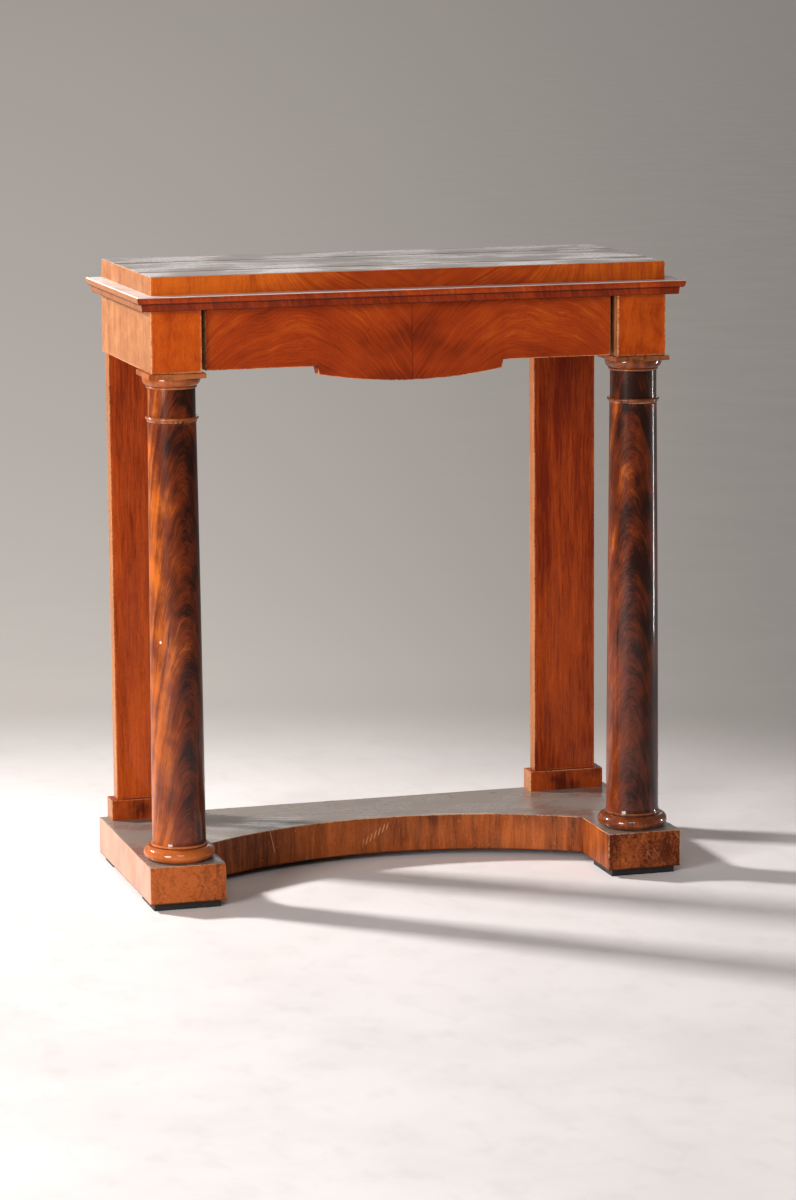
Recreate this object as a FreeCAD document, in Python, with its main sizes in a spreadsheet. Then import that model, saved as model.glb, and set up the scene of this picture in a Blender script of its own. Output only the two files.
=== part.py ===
import FreeCAD, Part
import os
import re

import Sketcher
from FreeCAD import Rotation, Vector

# A pier table: a platform with a concave front, two turned columns in front and two flat
# pilasters behind, a frieze with one drawer, a stepped cornice and a raised top.
# Frame: X across, Y from the front (-) to the wall side (+), Z up, origin on the floor under
# the middle of the table's box. Millimetres.

SIZES = {
    # Frieze: the box of aprons under the cornice
    "frieze_width": (734, "over the two side faces"),
    "frieze_depth": (318, "from the block fronts to the wall side"),
    "frieze_height": (86, ""),
    "block_width": (70.5, "square of the corner blocks over the columns"),
    "apron_thickness": (24, "side aprons and back rail"),
    "apron_tenon_length": (18, ""),
    "apron_tenon_thickness": (12, ""),
    "apron_tenon_height": (62, ""),
    "apron_rebate": (12, "how far the back rail is let into each side apron"),
    "frieze_board_lap": (12, "how far the cornice rests on the frieze"),
    "glue_block_side": (24, ""),
    "glue_block_length": (42, ""),
    "glue_block_spread": (150, "pitch of the blocks along the back rail"),
    "glue_block_gap": (42, "between a corner block and the first glue block"),
    # Cornice and top
    "lower_step_height": (10, ""),
    "lower_step_overhang": (15.4, "past the frieze, at its upper edge"),
    "lower_step_lean": (1.2, "how much its lower edge draws in"),
    "upper_step_height": (10, ""),
    "upper_step_overhang": (22, "past the frieze, at its widest"),
    "upper_step_cove": (2.4, "how much its lower edge draws in"),
    "upper_step_nose": (3, "height of the square nose over the cove"),
    "nose_round": (1.2, ""),
    "top_height": (25.5, "raised top above the cornice"),
    "top_inset": (1, "from the frieze's faces"),
    "top_panel_thickness": (12, ""),
    "top_rail_width": (45, ""),
    "top_batten_width": (40, ""),
    "top_round": (1.5, ""),
    # Platform and its pads
    "pad_height": (10, ""),
    "pad_inset": (7, "from the platform's faces"),
    "front_pad_depth": (80, ""),
    "rear_pad_depth": (50, ""),
    "base_thickness": (52.5, ""),
    "base_block_width": (107.5, "square under each column"),
    "base_block_reach": (118.5, "straight inner side, from the front to the curve"),
    "base_rise": (87, "depth of the concave curve"),
    "rear_rail_depth": (50, ""),
    "dowel_diameter": (10, ""),
    "dowel_length": (60, ""),
    "dowel_end_gap": (35, "from a joint's ends to the first dowel"),
    "middle_dowel_spread": (90, "dowels behind the curve, from the middle"),
    # Columns
    "column_height": (676, "platform to frieze"),
    "spigot_diameter": (32, "turned end of the shaft"),
    "spigot_length": (30, "in the platform, and in the block"),
    "torus_diameter": (99, ""),
    "torus_height": (19, ""),
    "base_ring_diameter": (78, ""),
    "base_ring_height": (4, ""),
    "base_ring_round": (1.2, ""),
    "shaft_foot_diameter": (74.4, ""),
    "shaft_head_diameter": (66.4, ""),
    "foot_flare": (1, "at the shaft's foot"),
    "foot_flare_height": (6, ""),
    "cincture_diameter": (68.6, "lip under the neck ring"),
    "cincture_height": (2, ""),
    "cincture_cove": (4, "height of the hollow under the lip"),
    "neck_diameter": (65.2, ""),
    "neck_height": (38.5, ""),
    "neck_ring_diameter": (73.5, ""),
    "neck_ring_height": (4.5, ""),
    "capital_ring_diameter": (69.8, ""),
    "capital_ring_height": (3, ""),
    "capital_foot_diameter": (67.2, "foot of the echinus"),
    "capital_diameter": (80, "head of the echinus"),
    "capital_curve_height": (9.5, "curved stretch of the echinus"),
    "capital_band_height": (2.5, "upright stretch over the curve"),
    "abacus_width": (80, ""),
    "abacus_height": (7, ""),
    # Pilasters
    "pilaster_width": (93.5, ""),
    "pilaster_thickness": (23, ""),
    "pilaster_inset": (3.5, "from the frieze's side"),
    "pilaster_tenon_width": (60, ""),
    "pilaster_tenon_thickness": (12, ""),
    "pilaster_tenon_length": (30, "in the platform, and in the back rail"),
    "shoe_height": (29.5, ""),
    "shoe_overhang": (9.6, "past the pilaster, at three sides"),
    # Drawer
    "drawer_recess": (10, "behind the block fronts"),
    "drawer_gap": (7, "at each end"),
    "drawer_foot_gap": (1.5, "above the blocks' lower edge"),
    "drawer_head_gap": (2.5, "under the cornice"),
    "drawer_front_thickness": (22, ""),
    "drawer_front_lap": (8, "left in front of the half-blind dovetails"),
    "drop_width": (266, "lobe that hangs under the drawer front"),
    "drop_step": (11.5, ""),
    "drop_lean": (2, "draw-in of each end step"),
    "drop_rise": (12, "depth of the lobe's curve"),
    "drawer_side_thickness": (11, ""),
    "drawer_side_height": (64, ""),
    "drawer_back_thickness": (11, ""),
    "drawer_back_drop": (5, "back's upper edge below the sides'"),
    "drawer_bottom_thickness": (7, ""),
    "drawer_bottom_height": (8, "groove above the sides' lower edge"),
    "drawer_groove_depth": (5, ""),
    "tail_share": (0.8, "width of a tail's end over the pitch"),
    "tail_slope": (0.16, "taper of each flank"),
    # Running gear
    "runner_width": (24.5, ""),
    "runner_height": (15, ""),
    "runner_housing": (6, "let into the back rail"),
    "guide_height": (28, ""),
    "stop_height": (18, ""),
    "stop_length": (29.7, "from the back rail towards the drawer"),
    "running_gap": (0.3, "under and behind the drawer"),
    "side_play": (0.8, "between the drawer and each guide"),
    # Fasteners and fits
    "screw_diameter": (5, ""),
    "screw_head_diameter": (9, ""),
    "screw_head_height": (2.4, ""),
    "top_screw_length": (30, ""),
    "top_screw_spread": (240, "pitch of the screws along the front rail"),
    "runner_screw_length": (40, ""),
    "runner_screw_inset": (9, "from the runner's front end"),
    "runner_screw_spread": (20, ""),
    "bottom_screw_length": (20, ""),
    "fit_gap": (0.1, "round spigots, tenons and dowels"),
    "arris": (0.8, "eased edges"),
}

# Places and shapes that follow from the sizes
WORKED_OUT = {
    "half": "frieze_width / 2",
    "back": "(frieze_depth + upper_step_overhang) / 2",
    "front": "back - frieze_depth",
    "platform": "pad_height + base_thickness",
    "frieze_foot": "platform + column_height",
    "frieze_head": "frieze_foot + frieze_height",
    "ledge": "frieze_head + lower_step_height + upper_step_height",
    "crown": "ledge + top_height",
    "column_x": "half - block_width / 2",
    "column_y": "front + block_width / 2",
    "block_inner": "half - block_width",
    "block_rear": "front + block_width",
    "apron_inner": "half - apron_thickness",
    "rail_front": "back - apron_thickness",
    "base_half": "column_x + base_block_width / 2",
    "base_inner": "column_x - base_block_width / 2",
    "base_front": "column_y - base_block_width / 2",
    "curve_start": "base_front + base_block_reach",
    "curve_radius": "(base_inner ^ 2 + base_rise ^ 2) / (2 * base_rise)",
    "base_rail_front": "back - rear_rail_depth",
    "spigot": "spigot_diameter / 2",
    "bore": "spigot + fit_gap",
    "base_turning": "torus_height + base_ring_height",
    "capital_height": "capital_ring_height + capital_curve_height + capital_band_height",
    "capital_foot": "column_height - abacus_height - capital_height",
    "neck_foot": "capital_foot - neck_height",
    "ring_foot": "neck_foot - neck_ring_height",
    "pilaster_outer": "half - pilaster_inset",
    "pilaster_inner": "pilaster_outer - pilaster_width",
    "pilaster_x": "pilaster_outer - pilaster_width / 2",
    "pilaster_front": "back - pilaster_thickness",
    "pilaster_y": "back - pilaster_thickness / 2",
    "board_half": "half - frieze_board_lap",
    "board_front": "front + frieze_board_lap",
    "top_half": "half - top_inset",
    "top_front": "front + top_inset",
    "top_rail_head": "crown - top_panel_thickness",
    "drawer_half": "block_inner - drawer_gap",
    "drawer_front_y": "front + drawer_recess",
    "drawer_front_back": "drawer_front_y + drawer_front_thickness",
    "drawer_rear": "rail_front - stop_length - running_gap",
    "drawer_inner": "drawer_half - drawer_side_thickness",
    "drawer_foot": "frieze_foot + drawer_foot_gap",
    "drawer_head": "frieze_head - drawer_head_gap",
    "runner_foot": "drawer_foot",
    "runner_head": "runner_foot + runner_height",
    "runner_front": "drawer_front_back + running_gap",
    "side_foot": "runner_head + running_gap",
    "side_head": "side_foot + drawer_side_height",
    "bottom_foot": "side_foot + drawer_bottom_height",
    "bottom_head": "bottom_foot + drawer_bottom_thickness",
    "drop_radius": "((drop_width / 2 - drop_lean) ^ 2 + drop_rise ^ 2) / (2 * drop_rise)",
}

TAILS = 3
SIDES = {"left": -1, "right": 1}
UP = Vector(0, 0, 1)
MITRE_SPARE = 5
SAME_PLACE = 0.01

doc = FreeCAD.newDocument("pier_table")
nodes = []


def write_sheet():
    """Puts the driving sizes in a spreadsheet: name, value and meaning."""
    sheet = doc.addObject("Spreadsheet::Sheet", "dims")
    for row, (name, (size, meaning)) in enumerate(SIZES.items(), start=1):
        sheet.set(f"A{row}", name)
        sheet.set(f"B{row}", str(size))
        sheet.setAlias(f"B{row}", name)
        sheet.set(f"C{row}", meaning)
    doc.recompute()
    return sheet


sheet = write_sheet()


def tied(rule):
    """Turns a rule in plain names into an expression on the spreadsheet."""
    def spell(word):
        name = word.group(0)
        if name in WORKED_OUT:
            return tied(WORKED_OUT[name])
        return f"dims.{name}" if name in SIZES else name
    return "(" + re.sub(r"[a-z][a-z_]+", spell, str(rule)) + ")"


def size(rule):
    """The present value of a rule, in millimetres."""
    return float(sheet.evalExpression(tied(rule)))


def bind(thing, **rules):
    """Ties properties of an object to rules."""
    for name, rule in rules.items():
        thing.setExpression(name, tied(rule))
    return thing


def put(thing, x="0", y="0", z="0"):
    """Ties an object's place to rules."""
    for axis, rule in zip("xyz", (x, y, z)):
        thing.setExpression(f"Placement.Base.{axis}", tied(rule))
    return thing


def span(low, high):
    return f"({high}) - ({low})"


def on_side(sign, low, high):
    """Limits across the table: as given on the right, mirrored on the left."""
    return (low, high) if sign > 0 else (f"-({high})", f"-({low})")


def block(label, x, y, z):
    """A square block between pairs of low and high rules."""
    piece = doc.addObject("Part::Box", label)
    bind(piece, Length=span(*x), Width=span(*y), Height=span(*z))
    return put(piece, x[0], y[0], z[0])


def rod(label, radius, length, x, y, z, along=UP):
    """A round rod from a place, along a direction."""
    piece = doc.addObject("Part::Cylinder", label)
    bind(piece, Radius=radius, Height=length)
    piece.Placement.Rotation = Rotation(UP, along)
    return put(piece, x, y, z)


def join(label, pieces):
    piece = doc.addObject("Part::MultiFuse", label)
    piece.Shapes = pieces
    return piece


def group(label, pieces):
    piece = doc.addObject("Part::Compound", label)
    piece.Links = pieces
    return piece


def cut(label, base, tools):
    piece = doc.addObject("Part::Cut", label)
    piece.Base = base
    piece.Tool = tools[0] if len(tools) == 1 else join(f"{label}_cuts", tools)
    return piece


def mirrored(label, source):
    """The same piece on the other side of the table."""
    piece = doc.addObject("Part::Mirroring", label)
    piece.Source = source
    piece.Normal = Vector(1, 0, 0)
    return piece


def keep(label, piece):
    """Names a finished sub-part."""
    piece.Label = label
    nodes.append(piece)
    return piece


def new_body(label, x="0", y="0", z="0"):
    return put(doc.addObject("PartDesign::Body", label), x, y, z)


def profile(body, plane, corners, arcs=None):
    """A closed sketch through corners given as pairs of rules.

    arcs: number of the corner where an arc starts -> (radius rule, turn),
    with turn 1 for an arc that runs anticlockwise and -1 for clockwise.
    """
    arcs = arcs or {}
    sketch = body.newObject("Sketcher::SketchObject", f"{body.Name}_sketch")
    origin_plane = next(f for f in body.Origin.OriginFeatures if f.Role == plane)
    sketch.AttachmentSupport = [(origin_plane, "")]
    sketch.MapMode = "FlatFace"
    spots = [Vector(size(x), size(y), 0) for x, y in corners]
    starts, ends = [], []
    for number, spot in enumerate(spots):
        following = spots[(number + 1) % len(spots)]
        if number in arcs:
            radius, turn = size(arcs[number][0]), arcs[number][1]
            chord = following - spot
            rise = max(radius ** 2 - (chord.Length / 2) ** 2, 0) ** 0.5
            across = Vector(-chord.y, chord.x, 0).normalize()
            centre = (spot + following) / 2 + across * rise * turn
            first, last = (spot, following) if turn > 0 else (following, spot)
            circle = Part.Circle(centre, UP, radius)
            sketch.addGeometry(Part.ArcOfCircle(circle, circle.parameter(first), circle.parameter(last)))
            starts.append(1 if turn > 0 else 2)
            ends.append(2 if turn > 0 else 1)
        else:
            sketch.addGeometry(Part.LineSegment(spot, following))
            starts.append(1)
            ends.append(2)
    for number, (x, y) in enumerate(corners):
        before = number - 1 if number else len(corners) - 1
        sketch.addConstraint(Sketcher.Constraint("Coincident", before, ends[before], number, starts[number]))
        for kind, rule in (("DistanceX", x), ("DistanceY", y)):
            row = sketch.addConstraint(
                Sketcher.Constraint(kind, -1, 1, number, starts[number], size(rule)))
            sketch.setExpression(f"Constraints[{row}]", tied(rule))
        if number in arcs:
            row = sketch.addConstraint(Sketcher.Constraint("Radius", number, size(arcs[number][0])))
            sketch.setExpression(f"Constraints[{row}]", tied(arcs[number][0]))
    return sketch


def pad(body, sketch, length):
    feature = body.newObject("PartDesign::Pad", f"{body.Name}_pad")
    feature.Profile = sketch
    return bind(feature, Length=length)


def turned(label, corners, arcs, x, y, z):
    """A piece off the lathe: corners are (radius, height) rules."""
    body = new_body(label, x, y, z)
    sketch = profile(body, "XZ_Plane", corners, arcs)
    feature = body.newObject("PartDesign::Revolution", f"{label}_turning")
    feature.Profile = sketch
    feature.ReferenceAxis = (sketch, ["V_Axis"])
    feature.Angle = 360
    return body


def board(label, x, y, z, eased=None, radius="arris"):
    """A planed board between pairs of rules; eased(edge, box) picks its eased edges."""
    body = new_body(label, x[0], y[0], z[0])
    length, width = span(*x), span(*y)
    corners = [("0", "0"), (length, "0"), (length, width), ("0", width)]
    solid = pad(body, profile(body, "XY_Plane", corners), span(*z))
    if eased:
        ease(body, solid, eased, radius)
    return body


def ease(body, feature, eased, radius="arris"):
    """Rounds the edges that eased(edge, box) picks, both in the body's own frame."""
    doc.recompute()
    picked = [f"Edge{number}" for number, edge in enumerate(feature.Shape.Edges, start=1)
              if eased(edge.BoundBox, feature.Shape.BoundBox)]
    rounding = body.newObject("PartDesign::Fillet", f"{body.Name}_arris")
    rounding.Base = (feature, picked)
    return bind(rounding, Radius=radius)


def near(one, other):
    return abs(one - other) < SAME_PLACE


def upright(edge, box):
    return near(edge.XLength, 0) and near(edge.YLength, 0)


def at_head(edge, box):
    return near(edge.ZMin, box.ZMax)


def at_front(edge, box):
    return near(edge.YMax, box.YMin)


def head_or_upright(edge, box):
    return upright(edge, box) or at_head(edge, box)


def screw(label, length, x, y, z, along):
    """A countersunk wood screw from its head's outer face, along a direction."""
    head = doc.addObject("Part::Cone", f"{label}_head")
    bind(head, Radius1="screw_head_diameter / 2", Radius2="screw_diameter / 2", Height="screw_head_height")
    head.Placement.Rotation = Rotation(UP, along)
    put(head, x, y, z)
    return join(label, [head, rod(f"{label}_shank", "screw_diameter / 2", length, x, y, z, along)])


def make_platform():
    """Two cheeks, a middle board with the concave front and a rear rail, dowelled together."""
    height = ("pad_height", "platform")
    dowels = []
    joint_z = "pad_height + base_thickness / 2"

    def dowel(x, y, along):
        """A dowel whose middle lies at a joint."""
        middle = [f"({place}) - {step} * dowel_length / 2" for place, step in zip((x, y), along)]
        direction = Vector(*along, 0)
        number = len(dowels)
        dowels.append(rod(f"dowel_{number}", "dowel_diameter / 2", "dowel_length",
                          *middle, joint_z, direction))
        over = [f"({place}) - {step} * fit_gap" for place, step in zip(middle, along)]
        return rod(f"dowel_hole_{number}", "dowel_diameter / 2 + fit_gap",
                   "dowel_length + 2 * fit_gap", *over, joint_z, direction)

    middle_holes, rail_holes, cheek_holes = [], [], {}
    for side, sign in SIDES.items():
        cheek_holes[side] = []
        for y in ("curve_start + dowel_end_gap", "base_rail_front - dowel_end_gap"):
            hole = dowel(f"{sign} * base_inner", y, (1, 0))
            middle_holes.append(hole)
            cheek_holes[side].append(hole)
        for x in ("base_inner + dowel_end_gap / 2", "base_half - dowel_end_gap / 2"):
            hole = dowel(f"{sign} * ({x})", "base_rail_front", (0, 1))
            rail_holes.append(hole)
            cheek_holes[side].append(hole)
        hole = dowel(f"{sign} * middle_dowel_spread", "base_rail_front", (0, 1))
        middle_holes.append(hole)
        rail_holes.append(hole)

    for side, sign in SIDES.items():
        x = on_side(sign, "base_inner", "base_half")

        def outer(edge, box, sign=sign):
            """The cheek's outer and front edges, clear of its joints."""
            outside = box.XMax if sign > 0 else box.XMin
            on_outside = near(edge.XMin, outside) and near(edge.XMax, outside)
            return at_front(edge, box) or (on_outside and not upright(edge, box))

        blank = board(f"cheek_{side}_blank", x, ("base_front", "base_rail_front"), height, outer)
        bore = rod(f"cheek_bore_{side}", "bore", "spigot_length + fit_gap", f"{sign} * column_x",
                   "column_y", "platform - spigot_length - fit_gap")
        keep(f"base_cheek_{side}", cut(f"cheek_{side}", blank, [bore] + cheek_holes[side]))

    body = new_body("middle_board_blank", z="pad_height")
    corners = [("-base_inner", "curve_start"), ("base_inner", "curve_start"),
               ("base_inner", "base_rail_front"), ("-base_inner", "base_rail_front")]
    pad(body, profile(body, "XY_Plane", corners, {0: ("curve_radius", -1)}), "base_thickness")
    keep("base_middle_board", cut("middle_board", body, middle_holes))

    rail = board("rear_rail_blank", ("-base_half", "base_half"), ("base_rail_front", "back"), height,
                 lambda edge, box: near(edge.YMin, box.YMax))
    mortises = [block(f"shoe_mortise_{side}", *pilaster_tenon(sign, "fit_gap"),
                      ("platform - pilaster_tenon_length - fit_gap", "platform"))
                for side, sign in SIDES.items()]
    keep("base_rear_rail", cut("rear_rail", rail, rail_holes + mortises))
    keep("base_dowels", group("dowels", dowels))


def make_pads():
    """Four black pads that the platform stands on."""
    rows = {"front": ("base_front + pad_inset", "base_front + pad_inset + front_pad_depth"),
            "rear": ("back - pad_inset - rear_pad_depth", "back - pad_inset")}
    for row, depth in rows.items():
        for side, sign in SIDES.items():
            width = on_side(sign, "base_inner + pad_inset", "base_half - pad_inset")
            keep(f"foot_pad_{row}_{side}",
                 board(f"pad_{row}_{side}", width, depth, ("0", "pad_height"), upright))


def make_column(side, sign):
    """A turned column: base, shaft, neck ring, capital and abacus on one long spigot."""
    place = (f"{sign} * column_x", "column_y", "platform")
    core = "torus_diameter / 2 - torus_height / 2"
    ring = "base_ring_diameter / 2"
    keep(f"column_base_{side}", turned(
        f"base_turning_{side}",
        [("bore", "0"), (core, "0"), ("torus_diameter / 2", "torus_height / 2"),
         (core, "torus_height"), (ring, "torus_height"), (ring, "base_turning - base_ring_round"),
         (f"{ring} - base_ring_round", "base_turning"), ("bore", "base_turning")],
        {1: ("torus_height / 2", 1), 2: ("torus_height / 2", 1), 5: ("base_ring_round", 1)},
        *place))

    foot, head = "shaft_foot_diameter / 2", "shaft_head_diameter / 2"
    lip = "cincture_diameter / 2"
    lip_out = f"({lip} - {head})"
    keep(f"column_shaft_{side}", turned(
        f"shaft_{side}",
        [("0", "-spigot_length"), ("spigot", "-spigot_length"), ("spigot", "base_turning"),
         (f"{foot} + foot_flare", "base_turning"), (foot, "base_turning + foot_flare_height"),
         (head, "ring_foot - cincture_height - cincture_cove"), (lip, "ring_foot - cincture_height"),
         (lip, "ring_foot"), ("neck_diameter / 2", "ring_foot"), ("neck_diameter / 2", "capital_foot"),
         ("spigot", "capital_foot"), ("spigot", "column_height + spigot_length"),
         ("0", "column_height + spigot_length")],
        {3: ("(foot_flare ^ 2 + foot_flare_height ^ 2) / (2 * foot_flare)", -1),
         5: (f"({lip_out} ^ 2 + cincture_cove ^ 2) / (2 * {lip_out})", -1)},
        *place))

    bead = "neck_ring_height / 2"
    bead_core = f"neck_ring_diameter / 2 - {bead}"
    ring_bore = "neck_diameter / 2 + fit_gap"
    keep(f"column_neck_ring_{side}", turned(
        f"neck_ring_{side}",
        [(ring_bore, "ring_foot"), (bead_core, "ring_foot"),
         ("neck_ring_diameter / 2", f"ring_foot + {bead}"), (bead_core, "neck_foot"),
         (ring_bore, "neck_foot")],
        {1: (bead, 1), 2: (bead, 1)}, *place))

    reach = "(capital_diameter - capital_foot_diameter) / 2"
    ring_head = "capital_foot + capital_ring_height"
    keep(f"column_capital_{side}", turned(
        f"capital_{side}",
        [("bore", "capital_foot"), ("capital_ring_diameter / 2", "capital_foot"),
         ("capital_ring_diameter / 2", ring_head), ("capital_foot_diameter / 2", ring_head),
         ("capital_diameter / 2", f"{ring_head} + capital_curve_height"),
         ("capital_diameter / 2", "column_height - abacus_height"),
         ("bore", "column_height - abacus_height")],
        {3: (f"(({reach}) ^ 2 + capital_curve_height ^ 2) / (2 * ({reach}))", 1)}, *place))

    x, y, half_width = place[0], place[1], "abacus_width / 2"
    blank = board(f"abacus_{side}_blank", (f"{x} - {half_width}", f"{x} + {half_width}"),
                  (f"{y} - {half_width}", f"{y} + {half_width}"),
                  ("frieze_foot - abacus_height", "frieze_foot"), upright)
    bore = rod(f"abacus_bore_{side}", "bore", "abacus_height", x, y, "frieze_foot - abacus_height")
    keep(f"column_abacus_{side}", cut(f"abacus_{side}", blank, [bore]))


def pilaster_tenon(sign, gap):
    """The x and y limits of a pilaster's tenon, with a gap all round."""
    x = f"{sign} * pilaster_x"
    across = f"pilaster_tenon_width / 2 + {gap}"
    through = f"pilaster_tenon_thickness / 2 + {gap}"
    return ((f"{x} - ({across})", f"{x} + {across}"),
            (f"pilaster_y - ({through})", f"pilaster_y + {through}"))


def make_pilaster(side, sign):
    """A flat rear support on its shoe, tenoned into platform and back rail."""
    x = on_side(sign, "pilaster_inner", "pilaster_outer")
    shoe_head = "platform + shoe_height"
    blank = board(f"pilaster_{side}_blank", x, ("pilaster_front", "back"),
                  (shoe_head, "frieze_foot"), upright)
    tenon = block(f"pilaster_tenon_{side}", *pilaster_tenon(sign, "0"),
                  ("platform - pilaster_tenon_length", "frieze_foot + pilaster_tenon_length"))
    keep(f"pilaster_{side}", join(f"pilaster_{side}", [blank, tenon]))

    shoe = board(f"shoe_{side}_blank", (f"{x[0]} - shoe_overhang", f"{x[1]} + shoe_overhang"),
                 ("pilaster_front - shoe_overhang", "back"), ("platform", shoe_head),
                 lambda edge, box: head_or_upright(edge, box) and not near(edge.YMin, box.YMax))
    mortise = block(f"shoe_hole_{side}", *pilaster_tenon(sign, "fit_gap"), ("platform", shoe_head))
    keep(f"pilaster_shoe_{side}", cut(f"shoe_{side}", shoe, [mortise]))


def apron_tenon(sign, gap):
    """The limits of a side apron's front tenon, with a gap all round."""
    across = "half - apron_thickness / 2"
    through = f"apron_tenon_thickness / 2 + {gap}"
    middle = "frieze_foot + frieze_height / 2"
    reach = f"apron_tenon_height / 2 + {gap}"
    return (on_side(sign, f"{across} - ({through})", f"{across} + {through}"),
            (f"block_rear - apron_tenon_length - {gap}", "block_rear"),
            (f"{middle} - ({reach})", f"{middle} + {reach}"))


def make_frieze():
    """Corner blocks over the columns, side aprons, back rail and the board on them."""
    height = ("frieze_foot", "frieze_head")
    runners = {}
    for side, sign in SIDES.items():
        x = on_side(sign, "block_inner", "half")
        blank = board(f"block_{side}_blank", x, ("front", "block_rear"), height,
                      lambda edge, box: upright(edge, box) and at_front(edge, box))
        bore = rod(f"block_bore_{side}", "bore", "spigot_length + fit_gap", f"{sign} * column_x",
                   "column_y", "frieze_foot")
        mortise = block(f"apron_mortise_{side}", *apron_tenon(sign, "fit_gap"))
        screws = make_runner_screws(side, sign)
        keep(f"corner_block_{side}", cut(f"block_{side}", blank, [bore, mortise] + screws))

        plank = block(f"apron_{side}_plank", on_side(sign, "apron_inner", "half"),
                      ("block_rear", "back"), height)
        tenon = block(f"apron_tenon_{side}", *apron_tenon(sign, "0"))
        rebate = block(f"apron_rebate_{side}", on_side(sign, "apron_inner", "apron_inner + apron_rebate"),
                       ("rail_front", "back"), height)
        keep(f"side_apron_{side}", cut(f"apron_{side}", join(f"apron_{side}_blank", [plank, tenon]),
                                       [rebate]))
        runners[side] = make_runner(side, sign, screws)

    reach = "apron_inner + apron_rebate"
    rail = block("back_rail_blank", (f"-({reach})", reach), ("rail_front", "back"), height)
    mortises = [block(f"rail_mortise_{side}", *pilaster_tenon(sign, "fit_gap"),
                      ("frieze_foot", "frieze_foot + pilaster_tenon_length + fit_gap"))
                for side, sign in SIDES.items()]
    keep("back_rail", cut("back_rail", rail, mortises + list(runners.values())))

    screws = make_top_screws()
    plank = block("frieze_board_blank", ("-board_half", "board_half"), ("board_front", "back"),
                  ("frieze_head", "ledge"))
    keep("frieze_board", cut("frieze_board", plank, screws))
    keep("top_screws", group("top_screws", screws))
    make_glue_blocks()
    return screws


def make_glue_blocks():
    """Three-cornered blocks in the angle under the frieze board."""
    side, length = "glue_block_side", "glue_block_length"

    def wedge(label, x, y, turn):
        """A prism whose square corner lies at the place, under the board."""
        body = new_body(label, x, y, "frieze_head")
        sketch = profile(body, "XZ_Plane", [("0", "0"), ("0", f"-{side}"), (side, "0")])
        pad(body, sketch, length)
        body.Placement.Rotation = Rotation(UP, turn)
        return body

    blocks = []
    for y in (f"block_rear + glue_block_gap + {length}", f"rail_front - {side}"):
        blocks.append(wedge(f"glue_left_{len(blocks)}", "-apron_inner", y, 0))
        blocks.append(wedge(f"glue_right_{len(blocks)}", "apron_inner", f"{y} - {length}", 180))
    for step in (-1, 0, 1):
        x = f"{step} * glue_block_spread + {length} / 2"
        blocks.append(wedge(f"glue_rear_{step + 1}", x, "rail_front", -90))
    keep("glue_blocks", group("glue_blocks", blocks))


def make_runner_screws(side, sign):
    """Two screws through a runner into the corner block."""
    return [screw(f"runner_screw_{side}_{number}", "runner_screw_length",
                  f"{sign} * (block_inner - runner_width)",
                  f"runner_front + runner_screw_inset + {number} * runner_screw_spread",
                  "runner_foot + runner_height / 2", Vector(sign, 0, 0))
            for number in range(2)]


def make_runner(side, sign, screws):
    """A runner under a drawer side, with the guide beside it and the stop behind it."""
    blank = block(f"runner_{side}_blank", on_side(sign, "block_inner - runner_width", "block_inner"),
                  ("runner_front", "rail_front + runner_housing"), ("runner_foot", "runner_head"))
    keep(f"drawer_runner_{side}", cut(f"runner_{side}", blank, screws))
    keep(f"drawer_guide_{side}",
         block(f"guide_{side}", on_side(sign, "drawer_half + side_play", "block_inner"),
               ("runner_front", "rail_front"), ("runner_head", "runner_head + guide_height")))
    keep(f"drawer_stop_{side}",
         block(f"stop_{side}", on_side(sign, "drawer_inner", "drawer_half"),
               ("drawer_rear + running_gap", "rail_front"), ("runner_head", "runner_head + stop_height")))
    keep(f"runner_screws_{side}", group(f"runner_screws_{side}", screws))
    return blank


def make_top_screws():
    """Screws from inside the frieze, through its board into the rails of the raised top."""
    spots = [(f"{step} * top_screw_spread", "board_front + screw_head_diameter") for step in (-1, 0, 1)]
    for sign in SIDES.values():
        spots.append((f"{sign} * glue_block_spread / 2", "back - top_rail_width + screw_head_diameter"))
        spots.append((f"{sign} * (top_half - top_rail_width + screw_head_diameter)",
                      "block_rear + glue_block_gap / 2"))
    return [screw(f"top_screw_{number}", "top_screw_length", x, y, "frieze_head", UP)
            for number, (x, y) in enumerate(spots)]


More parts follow.
